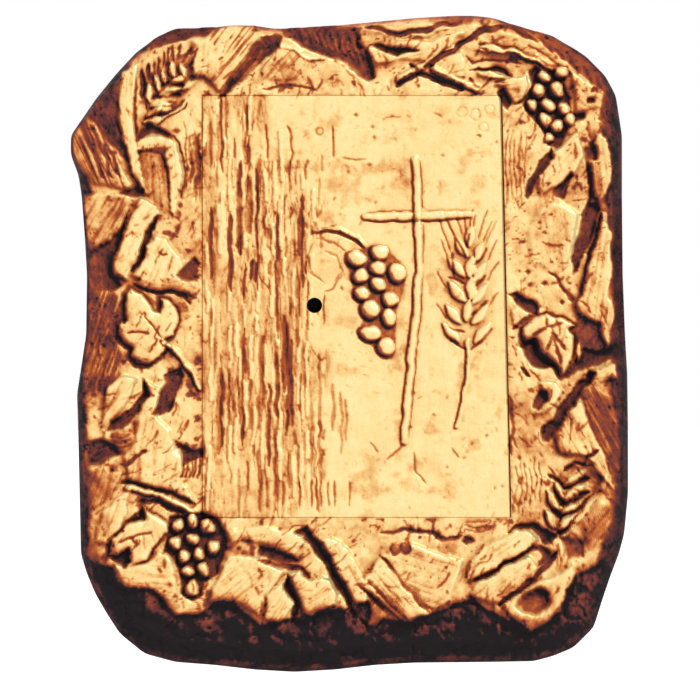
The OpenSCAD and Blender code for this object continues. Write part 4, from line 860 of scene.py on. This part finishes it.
def door_grapes():
    """The bunch of grapes beside the cross, with its stalk and tendrils."""
    stain([(-6, 34), (4, 40), (14, 42), (24, 38), (34, 30), (35, 18), (30, 4), (29, -10), (27, -26),
          (22, -33), (14, -27), (5, -20), (3, -6), (0, 2), (-2, 16), (-6, 26)], AMBER, 4, 0.7)
    pit([(-3, 35), (8, 38), (18, 40), (28, 31), (34, 24), (33, 14), (28, 2), (27, -12), (26, -30),
          (17, -32), (9, -22), (4, -12), (6, 0), (-2, 6), (-1, 16), (-5, 26)], 0.8, ORANGE, 2)
    groove([(-24, 47), (-18, 49), (-8, 47), (0, 43), (5, 39)], 2.4, 1)
    ridge([(-26, 49), (-18, 51), (-8, 49.5), (2, 45), (7, 40)], 2.2, 1.8)
    for berry in ((1, 31, 7, 5.4), (16, 35, 6.3, 5.4), (15, 25, 5.8, 5), (28, 22, 6.2, 6.7), (4, 20, 5.8,
            5), (15, 14, 5.6, 5.4), (4, 8, 5.5, 5), (23, 5, 6, 5.4), (10, -2, 6.2, 6.2), (22, -7, 5.4, 6.7),
            (10, -17, 7, 5), (20, -26, 6.2, 6.7)):
        x, z, rx, rz = berry
        # A groove along each berry's lower left, painted dark as painted shadow
        groove(arc(x, z, rx + 0.5, rz + 0.5, 2.2, 5.6, 9), 1.9, 0.6, DARK)
        dome(*berry, 3, -0.6, PALE, BROWN)
        groove([(x - 0.4 * rx, z - 0.5 * rz), (x - 0.55 * rx, z + 0.1 * rz)], 1, 0.3, ORANGE)

    for tendril in ([(-24, 44), (-14, 42), (-6, 36)], [(-27, 41), (-31, 32), (-27, 21), (-19, 16)],
            [(-20, 37), (-12, 33), (-8, 24), (-12, 17)], [(-29, 46), (-24, 50), (-12, 53)], [(-8, 20),
            (-14, 12), (-20, 10)]):
        groove(tendril, 1.4, 0.6, RUST)
    stain([(-30, 45), (-8, 46), (-6, 20), (-22, 12), (-31, 25)], AMBER, 5, 0.5)


def door_wheat():
    """The wheat ear at the right of the door."""
    stain([(56, 18), (62, 46), (74, 58), (88, 44), (92, 14), (90, -14), (75, -28), (58, -18)], AMBER, 5,
          0.75)
    for a, b in (((79, -22), (88, -11)), ((68, -22), (58, -11)), ((77, -10), (87, 1)), ((69, -10), (60, 1)),
            ((77, 3), (86, 14)), ((71, 4), (62, 16)), ((78, 17), (86, 29)), ((72, 20), (62, 31)), ((79, 31),
            (85, 42)), ((73, 33), (67, 44)), ((75, 40), (76.5, 52)), ((75, 6), (76, 18)), ((73, -8),
            (74, 4)), ((75, 20), (76.5, 32))):
        kernel(a, b, 6.6, 2.6)
    for shadow in ([(61, 19), (67, 17.5), (72, 15)], [(62, -22), (68, -25), (73, -28)], [(75, -28),
            (82, -22), (89, -14)], [(76, -5), (81, -2), (86, 4)], [(78, 13), (82, 16), (85, 20)], [(64, 35),
            (65, 19)], [(66, 45), (70, 38), (72, 32)], [(77, 27), (82, 31), (86, 38)], [(61, -13),
            (66, -15), (71, -17)], [(73, 38), (75, 47)]):
        groove(shadow, 1.6, 1)
    for awn in ([(84, 42), (89, 56)], [(77, 50), (79, 60)], [(66, 43), (61, 56)], [(73, 46), (71, 60)],
            [(86, 29), (93, 44)], [(61, 30), (56, 44)], [(63, 36), (54, 58)], [(70, 46), (66, 62)],
            [(75, 52), (77, 64)], [(81, 44), (86, 64)], [(86, 16), (94, 30)], [(60, 12), (53, 24)],
            [(83, 36), (92, 56)], [(65, 46), (57, 62)], [(60, -8), (53, 2)], [(87, 0), (94, 10)]):
        groove(awn, 1.2, 0.6, RUST)
    groove([(72, -27), (72, -45), (69, -60), (65, -76)], 1.6, 0.8)
    ridge([(74, -22), (74, -45), (71, -60), (66.5, -77)], 2.6, 1.6)


def cross():
    """The cross, with cuts along both sides of its bars."""
    groove([(36.7, 95), (38.5, 60), (39.1, 25), (37.8, 0), (34.3, -30), (32.3, -55), (29.8, -86)], 1.3, 0.9)
    groove([(7, 55.8), (41, 56.2), (75, 57.2)], 1.3, 0.9)
    groove([(42.6, 95), (43.8, 64)], 1.2, 0.5)
    groove([(44.8, 54), (43.4, 0), (39.9, -30), (37.9, -55), (35.4, -84)], 1.3, 0.5)
    groove([(7, 61.6), (36, 62), (40, 62)], 1, 0.4, RUST)
    groove([(46, 62), (60, 62.4), (75, 63)], 1, 0.4, RUST)
    ridge([(7, 58.8), (41, 59.2), (75, 60.2)], 4.6, 1.9, PALE, RUST)
    ridge([(39.7, 96), (41.2, 60), (42, 25), (40.7, 0), (37.2, -30), (35.2, -55), (32.7, -87)], 4.8, 2,
          PALE, RUST)


def scratches(count, seed, door_only):
    """Short tool cuts and specks all over the casting, along a slowly turning direction."""
    rng = np.random.default_rng(seed)
    for i in range(count):
        x = rng.uniform(-175, 172)
        z = rng.uniform(-200, 180)
        turn = 1.2 + 1.6 * float(noise(np.array(x / 38.0), np.array(z / 38.0), 181)) + rng.normal(0, 0.25)
        size = rng.uniform(0.6, 1.8) if door_only else rng.uniform(1.0, 6.5)
        width = rng.uniform(0.6, 1.0) if door_only else rng.uniform(0.7, 1.6)
        level = rng.choice([AMBER, ORANGE] if door_only else [AMBER, ORANGE, RUST, BROWN])
        if (sample(seam_depth, x, z) > 0) != door_only or sample(from_edge, x, z) < 8:
            continue
        dx = size * math.cos(turn)
        dz = size * math.sin(turn)
        groove([(x - dx, z - dz), (x + 0.1 * dz, z - 0.1 * dx), (x + dx, z + dz)], width, 0.3, level)


for draw in (rolled_rim, top_left, top_centre, top_right, middle_right, lower_right, bottom_right,
             middle_left, lower_left, bottom_centre, warm_blots, undercut):
    draw()
scratches(1500, 77, False)
for draw in (bark_field, plain_field, door_grapes, door_wheat, cross):
    draw()
scratches(500, 78, True)

# ---- seams, worn edges and hollows ------------------------------------------------------------
# The edges along the seam are broken and darkened with painted shade along the gap, and low enough by the
# hinge for the door to swing
near_seam = np.clip(1.0 - np.abs(seam_depth + 0.45) / 1.6, 0.0, 1.0)
HEIGHT -= 0.25 * near_seam ** 2
TONE += 0.16 * near_seam ** 2
right_seam = smooth((X - 84) / 6) * smooth((110 - X) / 5) * (np.abs(Z) < 142)
HEIGHT -= np.clip(HEIGHT - 1.6, 0, None) * right_seam

# Painted shade on faces that look down or left, and painted light on those that look up or right, as if lit
# from the upper right
edge_fade = np.clip((from_edge - 4) / 6, 0, 1)
for radius, share in ((0.6, 0.28), (1.8, 0.5)):
    slope_z, slope_x = np.gradient(blur(HEIGHT, radius), CELL)
    facing_down = slope_x * 0.62 + slope_z * 0.78
    share = share * np.where(on_door, 0.7, 1.0)
    TONE += share * (np.clip(facing_down, 0, 1.2) - 0.3 * np.clip(-facing_down, 0, 1.0)) * edge_fade
# Patina gathers in hollows, and spreads a little from every dark place
TONE += 0.12 * np.clip(blur(HEIGHT, 2.6) - HEIGHT, -0.7, 2.2) * edge_fade
TONE += 0.45 * blur(np.clip(TONE - 0.42, 0, 1), 2.0) * (TONE < 0.75)
TONE += 0.45 * blur(np.clip(TONE - 0.45, 0, 1), 6.0) * (TONE < 0.6)
# Clouds and specks, quieter on the door
busy = np.where(on_door, 0.4, 1.0)
TONE += busy * (0.1 * layers(X, Z, 7.0, 161, 3) + 0.09 * layers(X, Z, 2.0, 165, 2))
TONE += busy * 0.4 * smooth((noise(X / 1.3, Z / 1.3, 171) * noise(X / 5.0, Z / 5.0, 172) - 0.25) * 3.0)
# The outermost edge of the casting is dark: dark patina with painted shade where it rolls back to the wall
right_rim = smooth((X - 148) / 14) * smooth((150 - Z) / 20)
TONE += np.clip(0.95 - TONE, 0, 1) * right_rim * smooth((8.5 + 2.5 * LUMPS - from_edge) / 3.5)
silhouette = smooth((3.2 + 0.8 * LUMPS - from_edge) / 1.8) * (1 - 0.7 * smooth((Z - 165) / 10))
TONE += np.clip(0.95 - TONE, 0, 1) * silhouette
TONE = np.clip(TONE, 0.02, 1.05)
lowest = -5.4 * np.clip(from_edge / 14.0, 0, 1) - 24.0 * (1 - np.clip(from_edge / 14.0, 0, 1))
HEIGHT = np.clip(HEIGHT, lowest, 11.0)


# ---- materials --------------------------------------------------------------------------------
def linear(rgb):
    """A colour given as 0 to 255 for the screen, in the renderer's linear values."""
    out = [((c / 255 + 0.055) / 1.055) ** 2.4 if c > 10 else c / 255 / 12.92 for c in rgb]
    return (*out, 1.0)


def new_material(name):
    """A node material, its tree and its shader."""
    mat = bpy.data.materials.new(name)
    mat.use_nodes = True
    tree = mat.node_tree
    return mat, tree, tree.nodes["Principled BSDF"]


def ramp_node(tree, stops):
    """A colour ramp through (place, colour) stops."""
    ramp = tree.nodes.new("ShaderNodeValToRGB")
    while len(ramp.color_ramp.elements) < len(stops):
        ramp.color_ramp.elements.new(0.5)
    for element, (place, rgb) in zip(ramp.color_ramp.elements, stops):
        element.position = place
        element.color = linear(rgb)
    return ramp


def noise_node(tree, scale, detail=4.0, stretch=(1, 1, 1)):
    """Noise fixed to the piece, in cycles a metre, drawn out along an axis whose stretch is below 1."""
    coords = tree.nodes.new("ShaderNodeTexCoord")
    mapping = tree.nodes.new("ShaderNodeMapping")
    mapping.inputs["Scale"].default_value = stretch
    tree.links.new(coords.outputs["Object"], mapping.inputs["Vector"])
    tex = tree.nodes.new("ShaderNodeTexNoise")
    tex.inputs["Scale"].default_value = scale
    tex.inputs["Detail"].default_value = detail
    tree.links.new(mapping.outputs["Vector"], tex.inputs["Vector"])
    return tex.outputs["Fac"]


def math_node(tree, operation, a, b):
    node = tree.nodes.new("ShaderNodeMath")
    node.operation = operation
    for socket, value in zip(node.inputs, (a, b)):
        if isinstance(value, (int, float)):
            socket.default_value = value
        else:
            tree.links.new(value, socket)
    return node.outputs[0]


def remap(tree, value, low, high):
    node = tree.nodes.new("ShaderNodeMapRange")
    tree.links.new(value, node.inputs["Value"])
    node.inputs["To Min"].default_value = low
    node.inputs["To Max"].default_value = high
    return node.outputs["Result"]


def bump(tree, shader, height, strength, distance):
    """A bump on the shader, with its distance in metres."""
    node = tree.nodes.new("ShaderNodeBump")
    node.inputs["Strength"].default_value = strength
    node.inputs["Distance"].default_value = distance
    tree.links.new(height, node.inputs["Height"])
    tree.links.new(node.outputs["Normal"], shader.inputs["Normal"])


def patina_and_shade_bronze(name):
    """Gilt bronze whose colour follows the painted value of patina and painted shade, broken up at grain
    scale.
    """
    mat, tree, shader = new_material(name)
    tone = tree.nodes.new("ShaderNodeAttribute")
    # The patina attribute holds patina together with painted shade and painted light
    tone.attribute_name = "patina"
    fine = noise_node(tree, 900.0, 3.0)
    cloud = noise_node(tree, 130.0, 5.0)
    streak = noise_node(tree, 420.0, 2.0, (1.0, 1.0, 0.16))
    level = math_node(tree, "ADD", tone.outputs["Fac"], remap(tree, fine, -0.10, 0.10))
    level = math_node(tree, "ADD", level, remap(tree, cloud, -0.12, 0.12))
    level = math_node(tree, "ADD", level, remap(tree, streak, -0.05, 0.05))
    ramp = ramp_node(tree, [
        (0.00, (230, 211, 154)), (0.12, (229, 202, 140)), (0.25, (223, 183, 119)), (0.38, (203, 146, 87)),
        (0.50, (180, 103, 52)), (0.62, (150, 73, 40)), (0.75, (120, 57, 45)), (0.88, (80, 44, 43)),
        (1.00, (32, 28, 30))])
    tree.links.new(level, ramp.inputs["Fac"])
    tree.links.new(ramp.outputs["Color"], shader.inputs["Base Color"])
    tree.links.new(remap(tree, level, 0.62, 0.02), shader.inputs["Metallic"])
    shader.inputs["Specular IOR Level"].default_value = 0.2
    shader.inputs["IOR"].default_value = 1.2
    rough = math_node(tree, "ADD", remap(tree, level, 0.38, 0.78), remap(tree, fine, -0.06, 0.06))
    tree.links.new(rough, shader.inputs["Roughness"])
    grain = math_node(tree, "ADD", fine, math_node(tree, "MULTIPLY", cloud, 1.4))
    bump(tree, shader, grain, 0.35, 0.0005)
    return mat


def blend(tree, a, b):
    """Six parts of one value with four parts of another."""
    return math_node(tree, "ADD", math_node(tree, "MULTIPLY", a, 0.6), math_node(tree, "MULTIPLY", b, 0.4))


def worked_metal(name, dark, light, rough, metallic, scale, stretch=(1, 1, 1), grit=0.12):
    """Machined or rolled metal: two tones in directional grain, uneven gloss and a fine bump."""
    mat, tree, shader = new_material(name)
    grain = noise_node(tree, scale, 5.0, stretch)
    wear = noise_node(tree, scale * 0.12, 4.0)
    mix = blend(tree, grain, wear)
    ramp = ramp_node(tree, [(0.32, dark), (0.68, light)])
    tree.links.new(mix, ramp.inputs["Fac"])
    tree.links.new(ramp.outputs["Color"], shader.inputs["Base Color"])
    shader.inputs["Metallic"].default_value = metallic
    tree.links.new(remap(tree, mix, rough - 0.1, rough + 0.12), shader.inputs["Roughness"])
    bump(tree, shader, grain, grit, 0.0003)
    return mat


def felt(name):
    """Pressed red felt: fine fibres over soft tufts, with a sheen."""
    mat, tree, shader = new_material(name)
    fibres = noise_node(tree, 1600.0, 3.0, (1, 1, 0.4))
    tufts = noise_node(tree, 260.0, 3.0)
    mix = blend(tree, fibres, tufts)
    ramp = ramp_node(tree, [(0.3, (70, 14, 22)), (0.7, (140, 36, 46))])
    tree.links.new(mix, ramp.inputs["Fac"])
    tree.links.new(ramp.outputs["Color"], shader.inputs["Base Color"])
    tree.links.new(remap(tree, mix, 0.85, 1.0), shader.inputs["Roughness"])
    shader.inputs["Sheen Weight"].default_value = 0.5
    bump(tree, shader, fibres, 0.6, 0.0006)
    return mat


METALS = {
    "bush_bronze": ((150, 92, 44), (206, 142, 78), 0.32, 1.0, 500, (1, 1, 0.15)),
    "gilt_brass": ((196, 154, 84), (240, 208, 136), 0.24, 1.0, 260, (1, 1, 0.08)),
    "lock_brass": ((168, 128, 56), (222, 184, 104), 0.3, 1.0, 420, (0.12, 1, 1)),
    "zinc_steel": ((140, 146, 152), (206, 210, 212), 0.34, 1.0, 520),
    "lock_steel": ((122, 126, 130), (186, 188, 190), 0.3, 1.0, 460, (0.1, 1, 1)),
    "black_steel": ((20, 20, 22), (52, 50, 50), 0.42, 0.8, 480),
    "box_paint": ((86, 92, 96), (112, 118, 120), 0.5, 0.1, 700, (1, 1, 1), 0.35),
    "subframe_paint": ((38, 38, 42), (62, 60, 62), 0.46, 0.15, 700, (1, 1, 1), 0.35),
    "keyhole_shade_black": ((12, 10, 10), (34, 28, 24), 0.7, 0.3, 480),
}
looks = {name: worked_metal(name, *recipe) for name, recipe in METALS.items()}
looks["felt"] = felt("felt_red")
looks["surround_bronze"] = patina_and_shade_bronze("surround_patina_and_shade")
looks["door_bronze"] = patina_and_shade_bronze("door_patina_and_shade")
slot_of = {part["node"]: part["material_slot"] for part in frame["record"]["subparts"]}
# The parts seen through the keyhole get a near-black material as painted shade, so that the keyhole reads
# black
slot_of["lock_plug"] = "keyhole_shade_black"
slot_of["tumbler_pins"] = "keyhole_shade_black"
for name, obj in nodes.items():
    obj.data.materials.clear()
    obj.data.materials.append(looks[slot_of[name]])


# ---- relief meshes ----------------------------------------------------------------------------
def make_piece(name, verts, faces, patina, slot, body, replaced):
    """A smooth-shaded mesh with its patina and painted shade, which rides on a body in place of a plainer
    casting.
    """
    mesh = bpy.data.meshes.new(name)
    mesh.from_pydata([tuple(v) for v in np.array(verts) * MM], [], faces)
    mesh.update()
    # The patina attribute holds patina together with painted shade and painted light
    layer = mesh.attributes.new("patina", "FLOAT", "POINT")
    layer.data.foreach_set("value", np.array(patina, np.float32))
    mesh.polygons.foreach_set("use_smooth", np.ones(len(mesh.polygons), bool))
    mesh.materials.append(looks[slot])
    obj = bpy.data.objects.new(name, mesh)
    bpy.context.scene.collection.objects.link(obj)
    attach(obj, body)
    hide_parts(replaced)
    return obj


def ray_hit(angle, corners):
    """Where a ray from the origin meets a convex frame round it."""
    dx = math.cos(angle)
    dz = math.sin(angle)
    best = None
    for (ax, az), (bx, bz) in zip(corners, corners[1:] + corners[:1]):
        ex = bx - ax
        ez = bz - az
        det = ex * dz - ez * dx
        if abs(det) < 1e-9:
            continue
        t = (ax * dz - az * dx) / -det
        hit = (ax + t * ex, az + t * ez)
        if -1e-9 <= t <= 1 + 1e-9 and hit[0] * dx + hit[1] * dz > 0:
            best = hit
    return best


def grown(corners, margin):
    """The doorway's corners, moved out by a margin."""
    (x0, z1), (x1, _), (x2, z0), _ = corners
    return [(x0 - margin, z1 + margin), (x1 + margin, z1 + margin), (x2 + margin, z0 - margin),
            (x0 - margin, z0 - margin)]


def build_surround():
    """The surround: rings of points from the doorway out over the relief, round the rim and back inside."""
    around = 1400
    across = 98
    # Sample the outline evenly, then turn the nearest samples onto the doorway's corners
    pts = np.array(outline)
    seg = np.hypot(*(np.roll(pts, -1, 0) - pts).T)
    places = np.concatenate([[0], np.cumsum(seg)])
    wanted = np.linspace(0, places[-1], around, endpoint=False)
    loop = np.array([[np.interp(w, places, np.append(pts[:, k], pts[0, k])) for k in (0, 1)] for w in wanted])
    reach = np.arange(-24, 25)
    weights = np.exp(-0.5 * (reach / 2.2) ** 2)
    weights /= weights.sum()
    loop = sum(w * np.roll(loop, k, 0) for k, w in zip(reach, weights))
    angles = np.arctan2(loop[:, 1], loop[:, 0])
    for cx, cz in WAY:
        corner = math.atan2(cz, cx)
        k = int(np.argmin(np.abs(np.angle(np.exp(1j * (angles - corner))))))
        angles[k] = corner
        loop[k] = np.array([math.cos(corner), math.sin(corner)]) * np.hypot(*loop[k])
    door_edge = np.array([ray_hit(a, WAY) for a in angles])
    rings = []
    tones = []

    def add(x, y, z, tone):
        """One ring of points and its patina and painted shade."""
        rings.append(np.stack([x, y, z], 1))
        tones.append(np.broadcast_to(tone, x.shape))

    def flat(line, y, tone):
        """One ring at a constant depth."""
        add(line[:, 0], np.full(around, float(y)), line[:, 1], tone)

    for i in range(across + 1):
        t = i / across
        p = door_edge * (1 - t) + loop * t
        height = sample(HEIGHT, p[:, 0], p[:, 1])
        if i == 0:
            height = np.minimum(height, -0.2)
        if i == across:
            height = np.full(around, -20.0)
        add(p[:, 0], FRONT_Y - height, p[:, 1], sample(TONE, p[:, 0], p[:, 1]))
    radius = np.hypot(loop[:, 0], loop[:, 1])[:, None]
    for y, step in ((-5.0, 1.2), (-1.0, 3.0), (0.0, 4.2)):
        flat(loop * (radius - step) / radius, y, 0.95)
    rear = loop * (radius - BACK_RIM) / radius
    rear[:, 1] += 26.0 * bottom_share(loop[:, 1])
    flat(rear, 0.0, 0.9)
    flat(rear, HOLLOW_Y + 1.0, 0.92)
    inner = np.array([ray_hit(a, grown(WAY, REVEAL_WALL)) for a in angles])
    for t in (0.02, 0.2, 0.4, 0.6, 0.8, 0.98):
        p = rear * (1 - t) + inner * t
        add(p[:, 0], HOLLOW_Y + 0.35 * sample(LUMPS, p[:, 0], p[:, 1]), p[:, 1], 0.88)
    flat(inner, HOLLOW_Y + 1.0, 0.9)
    flat(inner, FRAME_Y, 0.8)
    flat(door_edge, FRAME_Y, 0.5)
    flat(door_edge, FRONT_Y + 1.2, 0.3)
    verts = np.concatenate(rings)
    count = len(rings)
    faces = []
    for r in range(count):
        s = (r + 1) % count
        for k in range(around):
            m = (k + 1) % around
            faces.append((r * around + k, r * around + m, s * around + m, s * around + k))
    patina = np.concatenate(tones)
    verts = verts.tolist()
    patina = patina.tolist()

    def post(corners):
        """A closed boss that stands on the hollow's ceiling, with its rear edge broken."""
        first = len(verts)
        n = len(corners)
        middle = np.mean(corners, 0)
        for y, share in ((HOLLOW_Y - 1.5, 1.0), (FRAME_Y - 0.6, 1.0), (FRAME_Y, 0.94)):
            for x, z in corners:
                verts.append([middle[0] + (x - middle[0]) * share, y, middle[1] + (z - middle[1]) * share])
                patina.append(0.85)
        for layer in (0, 1):
            for k in range(n):
                a = first + layer * n + k
                b = first + layer * n + (k + 1) % n
                faces.append((a, b, b + n, a + n))
        faces.append(tuple(first + k for k in reversed(range(n))))
        faces.append(tuple(first + 2 * n + k for k in range(n)))

    for x, z in STUDS:
        post(arc(x, z, BOSS_R, -BOSS_R, 0, 2 * math.pi, 28)[:-1])
    for x0, z0, x1, z1 in PIVOT_BLOCKS:
        post([(x0, z1), (x1, z1), (x1, z0), (x0, z0)])
    return make_piece("surround_relief", verts, faces, patina, "surround_bronze", "tabernacle",
                      "surround_casting")


def build_door():
    """The door: a grid over its front with the keyhole cut out, closed by its edges and a flat back."""
    columns = 254
    rows = 346
    verts = []
    for j in range(rows + 1):
        v = j / rows
        z = DOOR_TOP - (DOOR_TOP - DOOR_BOTTOM) * v
        right = DOOR_RIGHT + DOOR_SPLAY * v
        for i in range(columns + 1):
            verts.append((DOOR_LEFT + (right - DOOR_LEFT) * i / columns, 0.0, z))
    verts = np.array(verts)
    hole = np.array(KEYHOLE)
    index = np.arange((rows + 1) * (columns + 1)).reshape(rows + 1, columns + 1)
    quads = np.stack([index[:-1, :-1], index[:-1, 1:], index[1:, 1:], index[1:, :-1]], -1).reshape(-1, 4)
    centres = verts[quads][:, :, [0, 2]].mean(1)
    inside = np.hypot(*(centres - hole).T) < KEYHOLE_R
    kept = quads[~inside]
    removed_verts = set(quads[inside].ravel().tolist())
    kept_verts = set(kept.ravel().tolist())
    rim = sorted(removed_verts & kept_verts,
                 key=lambda k: -math.atan2(verts[k][2] - hole[1], verts[k][0] - hole[0]))
    for k in rim:
        d = verts[k][[0, 2]] - hole
        d *= KEYHOLE_R / np.hypot(*d)
        verts[k][0], verts[k][2] = hole + d
    height = sample(HEIGHT, verts[:, 0], verts[:, 2])
    patina = sample(TONE, verts[:, 0], verts[:, 2])
    verts[:, 1] = FRONT_Y - height
    for k in rim:
        verts[k][1] = FRONT_Y + 0.2
    # The hinge-side front edge is rounded about the hinge line so that it clears the surround
    down = (DOOR_TOP - verts[:, 2]) / (DOOR_TOP - DOOR_BOTTOM)
    swing_r = DOOR_RIGHT + DOOR_SPLAY * down + 0.2 - HINGE_X
    arm = np.clip(verts[:, 0] - HINGE_X, 0, None)
    verts[:, 1] = np.maximum(verts[:, 1], HINGE_Y - np.sqrt(np.clip(swing_r ** 2 - arm ** 2, 0, None)))
    outer = (index[0, :].tolist() + index[1:, -1].tolist() + index[-1, -2::-1].tolist()
             + index[-2:0:-1, 0].tolist())
    used = sorted(kept_verts)
    renumber = {k: n for n, k in enumerate(used)}
    faces = [tuple(renumber[k] for k in q) for q in kept.tolist()]
    coords = verts[used].tolist()
    tones = patina[used].tolist()
    loops = []
    # The keyhole's bore is painted near black, as painted shade inside the hole
    for line, tone in ((outer, 0.3), (rim, 0.95)):
        line = [renumber[k] for k in line]
        for y in (-26.0, DOOR_REAR_Y):
            first = len(coords)
            for n, k in enumerate(line):
                x, _, z = coords[k]
                coords.append([x, y, z])
                tones.append(tone)
            fresh = list(range(first, len(coords)))
            total = len(line)
            for n in range(total):
                m = (n + 1) % total
                faces.append((line[n], fresh[n], fresh[m], line[m]))
            line = fresh
        loops.append(line)
    flat = [[Vector((coords[k][0], coords[k][2], 0.0)) for k in line] for line in loops]
    everyone = loops[0] + loops[1]
    for tri in tessellate_polygon(flat):
        faces.append(tuple(everyone[k] for k in tri))
    return make_piece("door_relief", coords, faces, tones, "door_bronze", "door", "door_casting")


surround = build_surround()
door = build_door()
for obj in (surround, door):
    bpy.context.view_layer.objects.active = obj
    obj.select_set(True)
    bpy.ops.object.mode_set(mode="EDIT")
    bpy.ops.mesh.select_all(action="SELECT")
    bpy.ops.mesh.normals_make_consistent(inside=False)
    bpy.ops.object.mode_set(mode="OBJECT")
    obj.select_set(False)
    obj.data.set_sharp_from_angle(angle=math.radians(48))

# ---- stage, lights and camera, in metres ------------------------------------------------------
floor_z = cad_lo.z - 0.05
half = 20.0
floor_mesh = bpy.data.meshes.new("floor")
floor_mesh.from_pydata([(-half, -half, floor_z), (half, -half, floor_z), (half, half, floor_z),
                        (-half, half, floor_z)], [], [(0, 1, 2, 3)])
floor = bpy.data.objects.new("floor", floor_mesh)
bpy.context.scene.collection.objects.link(floor)
floor_mat, _, floor_shader = new_material("pale_floor")
floor_shader.inputs["Base Color"].default_value = (0.92, 0.92, 0.92, 1)
floor_shader.inputs["Roughness"].default_value = 0.9
floor_mesh.materials.append(floor_mat)

world = bpy.data.worlds.new("studio")
world.use_nodes = True
world.node_tree.nodes["Background"].inputs["Color"].default_value = (1.0, 1.0, 1.0, 1)
world.node_tree.nodes["Background"].inputs["Strength"].default_value = 1.0
bpy.context.scene.world = world


def sun(name, place, energy, angle):
    """A soft distant lamp that shines from a place towards the object."""
    lamp = bpy.data.lights.new(name, "SUN")
    lamp.energy = energy
    lamp.angle = math.radians(angle)
    obj = bpy.data.objects.new(name, lamp)
    obj.location = place
    obj.rotation_mode = "QUATERNION"
    obj.rotation_quaternion = Vector([-c for c in place]).to_track_quat("-Z", "Y")
    bpy.context.scene.collection.objects.link(obj)


sun("key", (1.3, -1.7, 2.0), 1.6, 14)
sun("rear", (-1.0, 2.0, 1.2), 0.6, 30)

bpy.context.scene.view_settings.view_transform = "Standard"
lens = bpy.data.cameras.new("camera")
lens.lens = 400.0
lens.sensor_width = 36.0
lens.clip_end = 100.0
camera = bpy.data.objects.new("camera", lens)
# Width that the view takes in at the relief's front plane
view_width = 0.455
front_plane = -0.028
distance = view_width * lens.lens / lens.sensor_width
camera.location = (-0.0029, front_plane - distance, -0.028)
camera.rotation_euler = (math.radians(90), 0, 0)
bpy.context.scene.collection.objects.link(camera)
bpy.context.scene.camera = camera
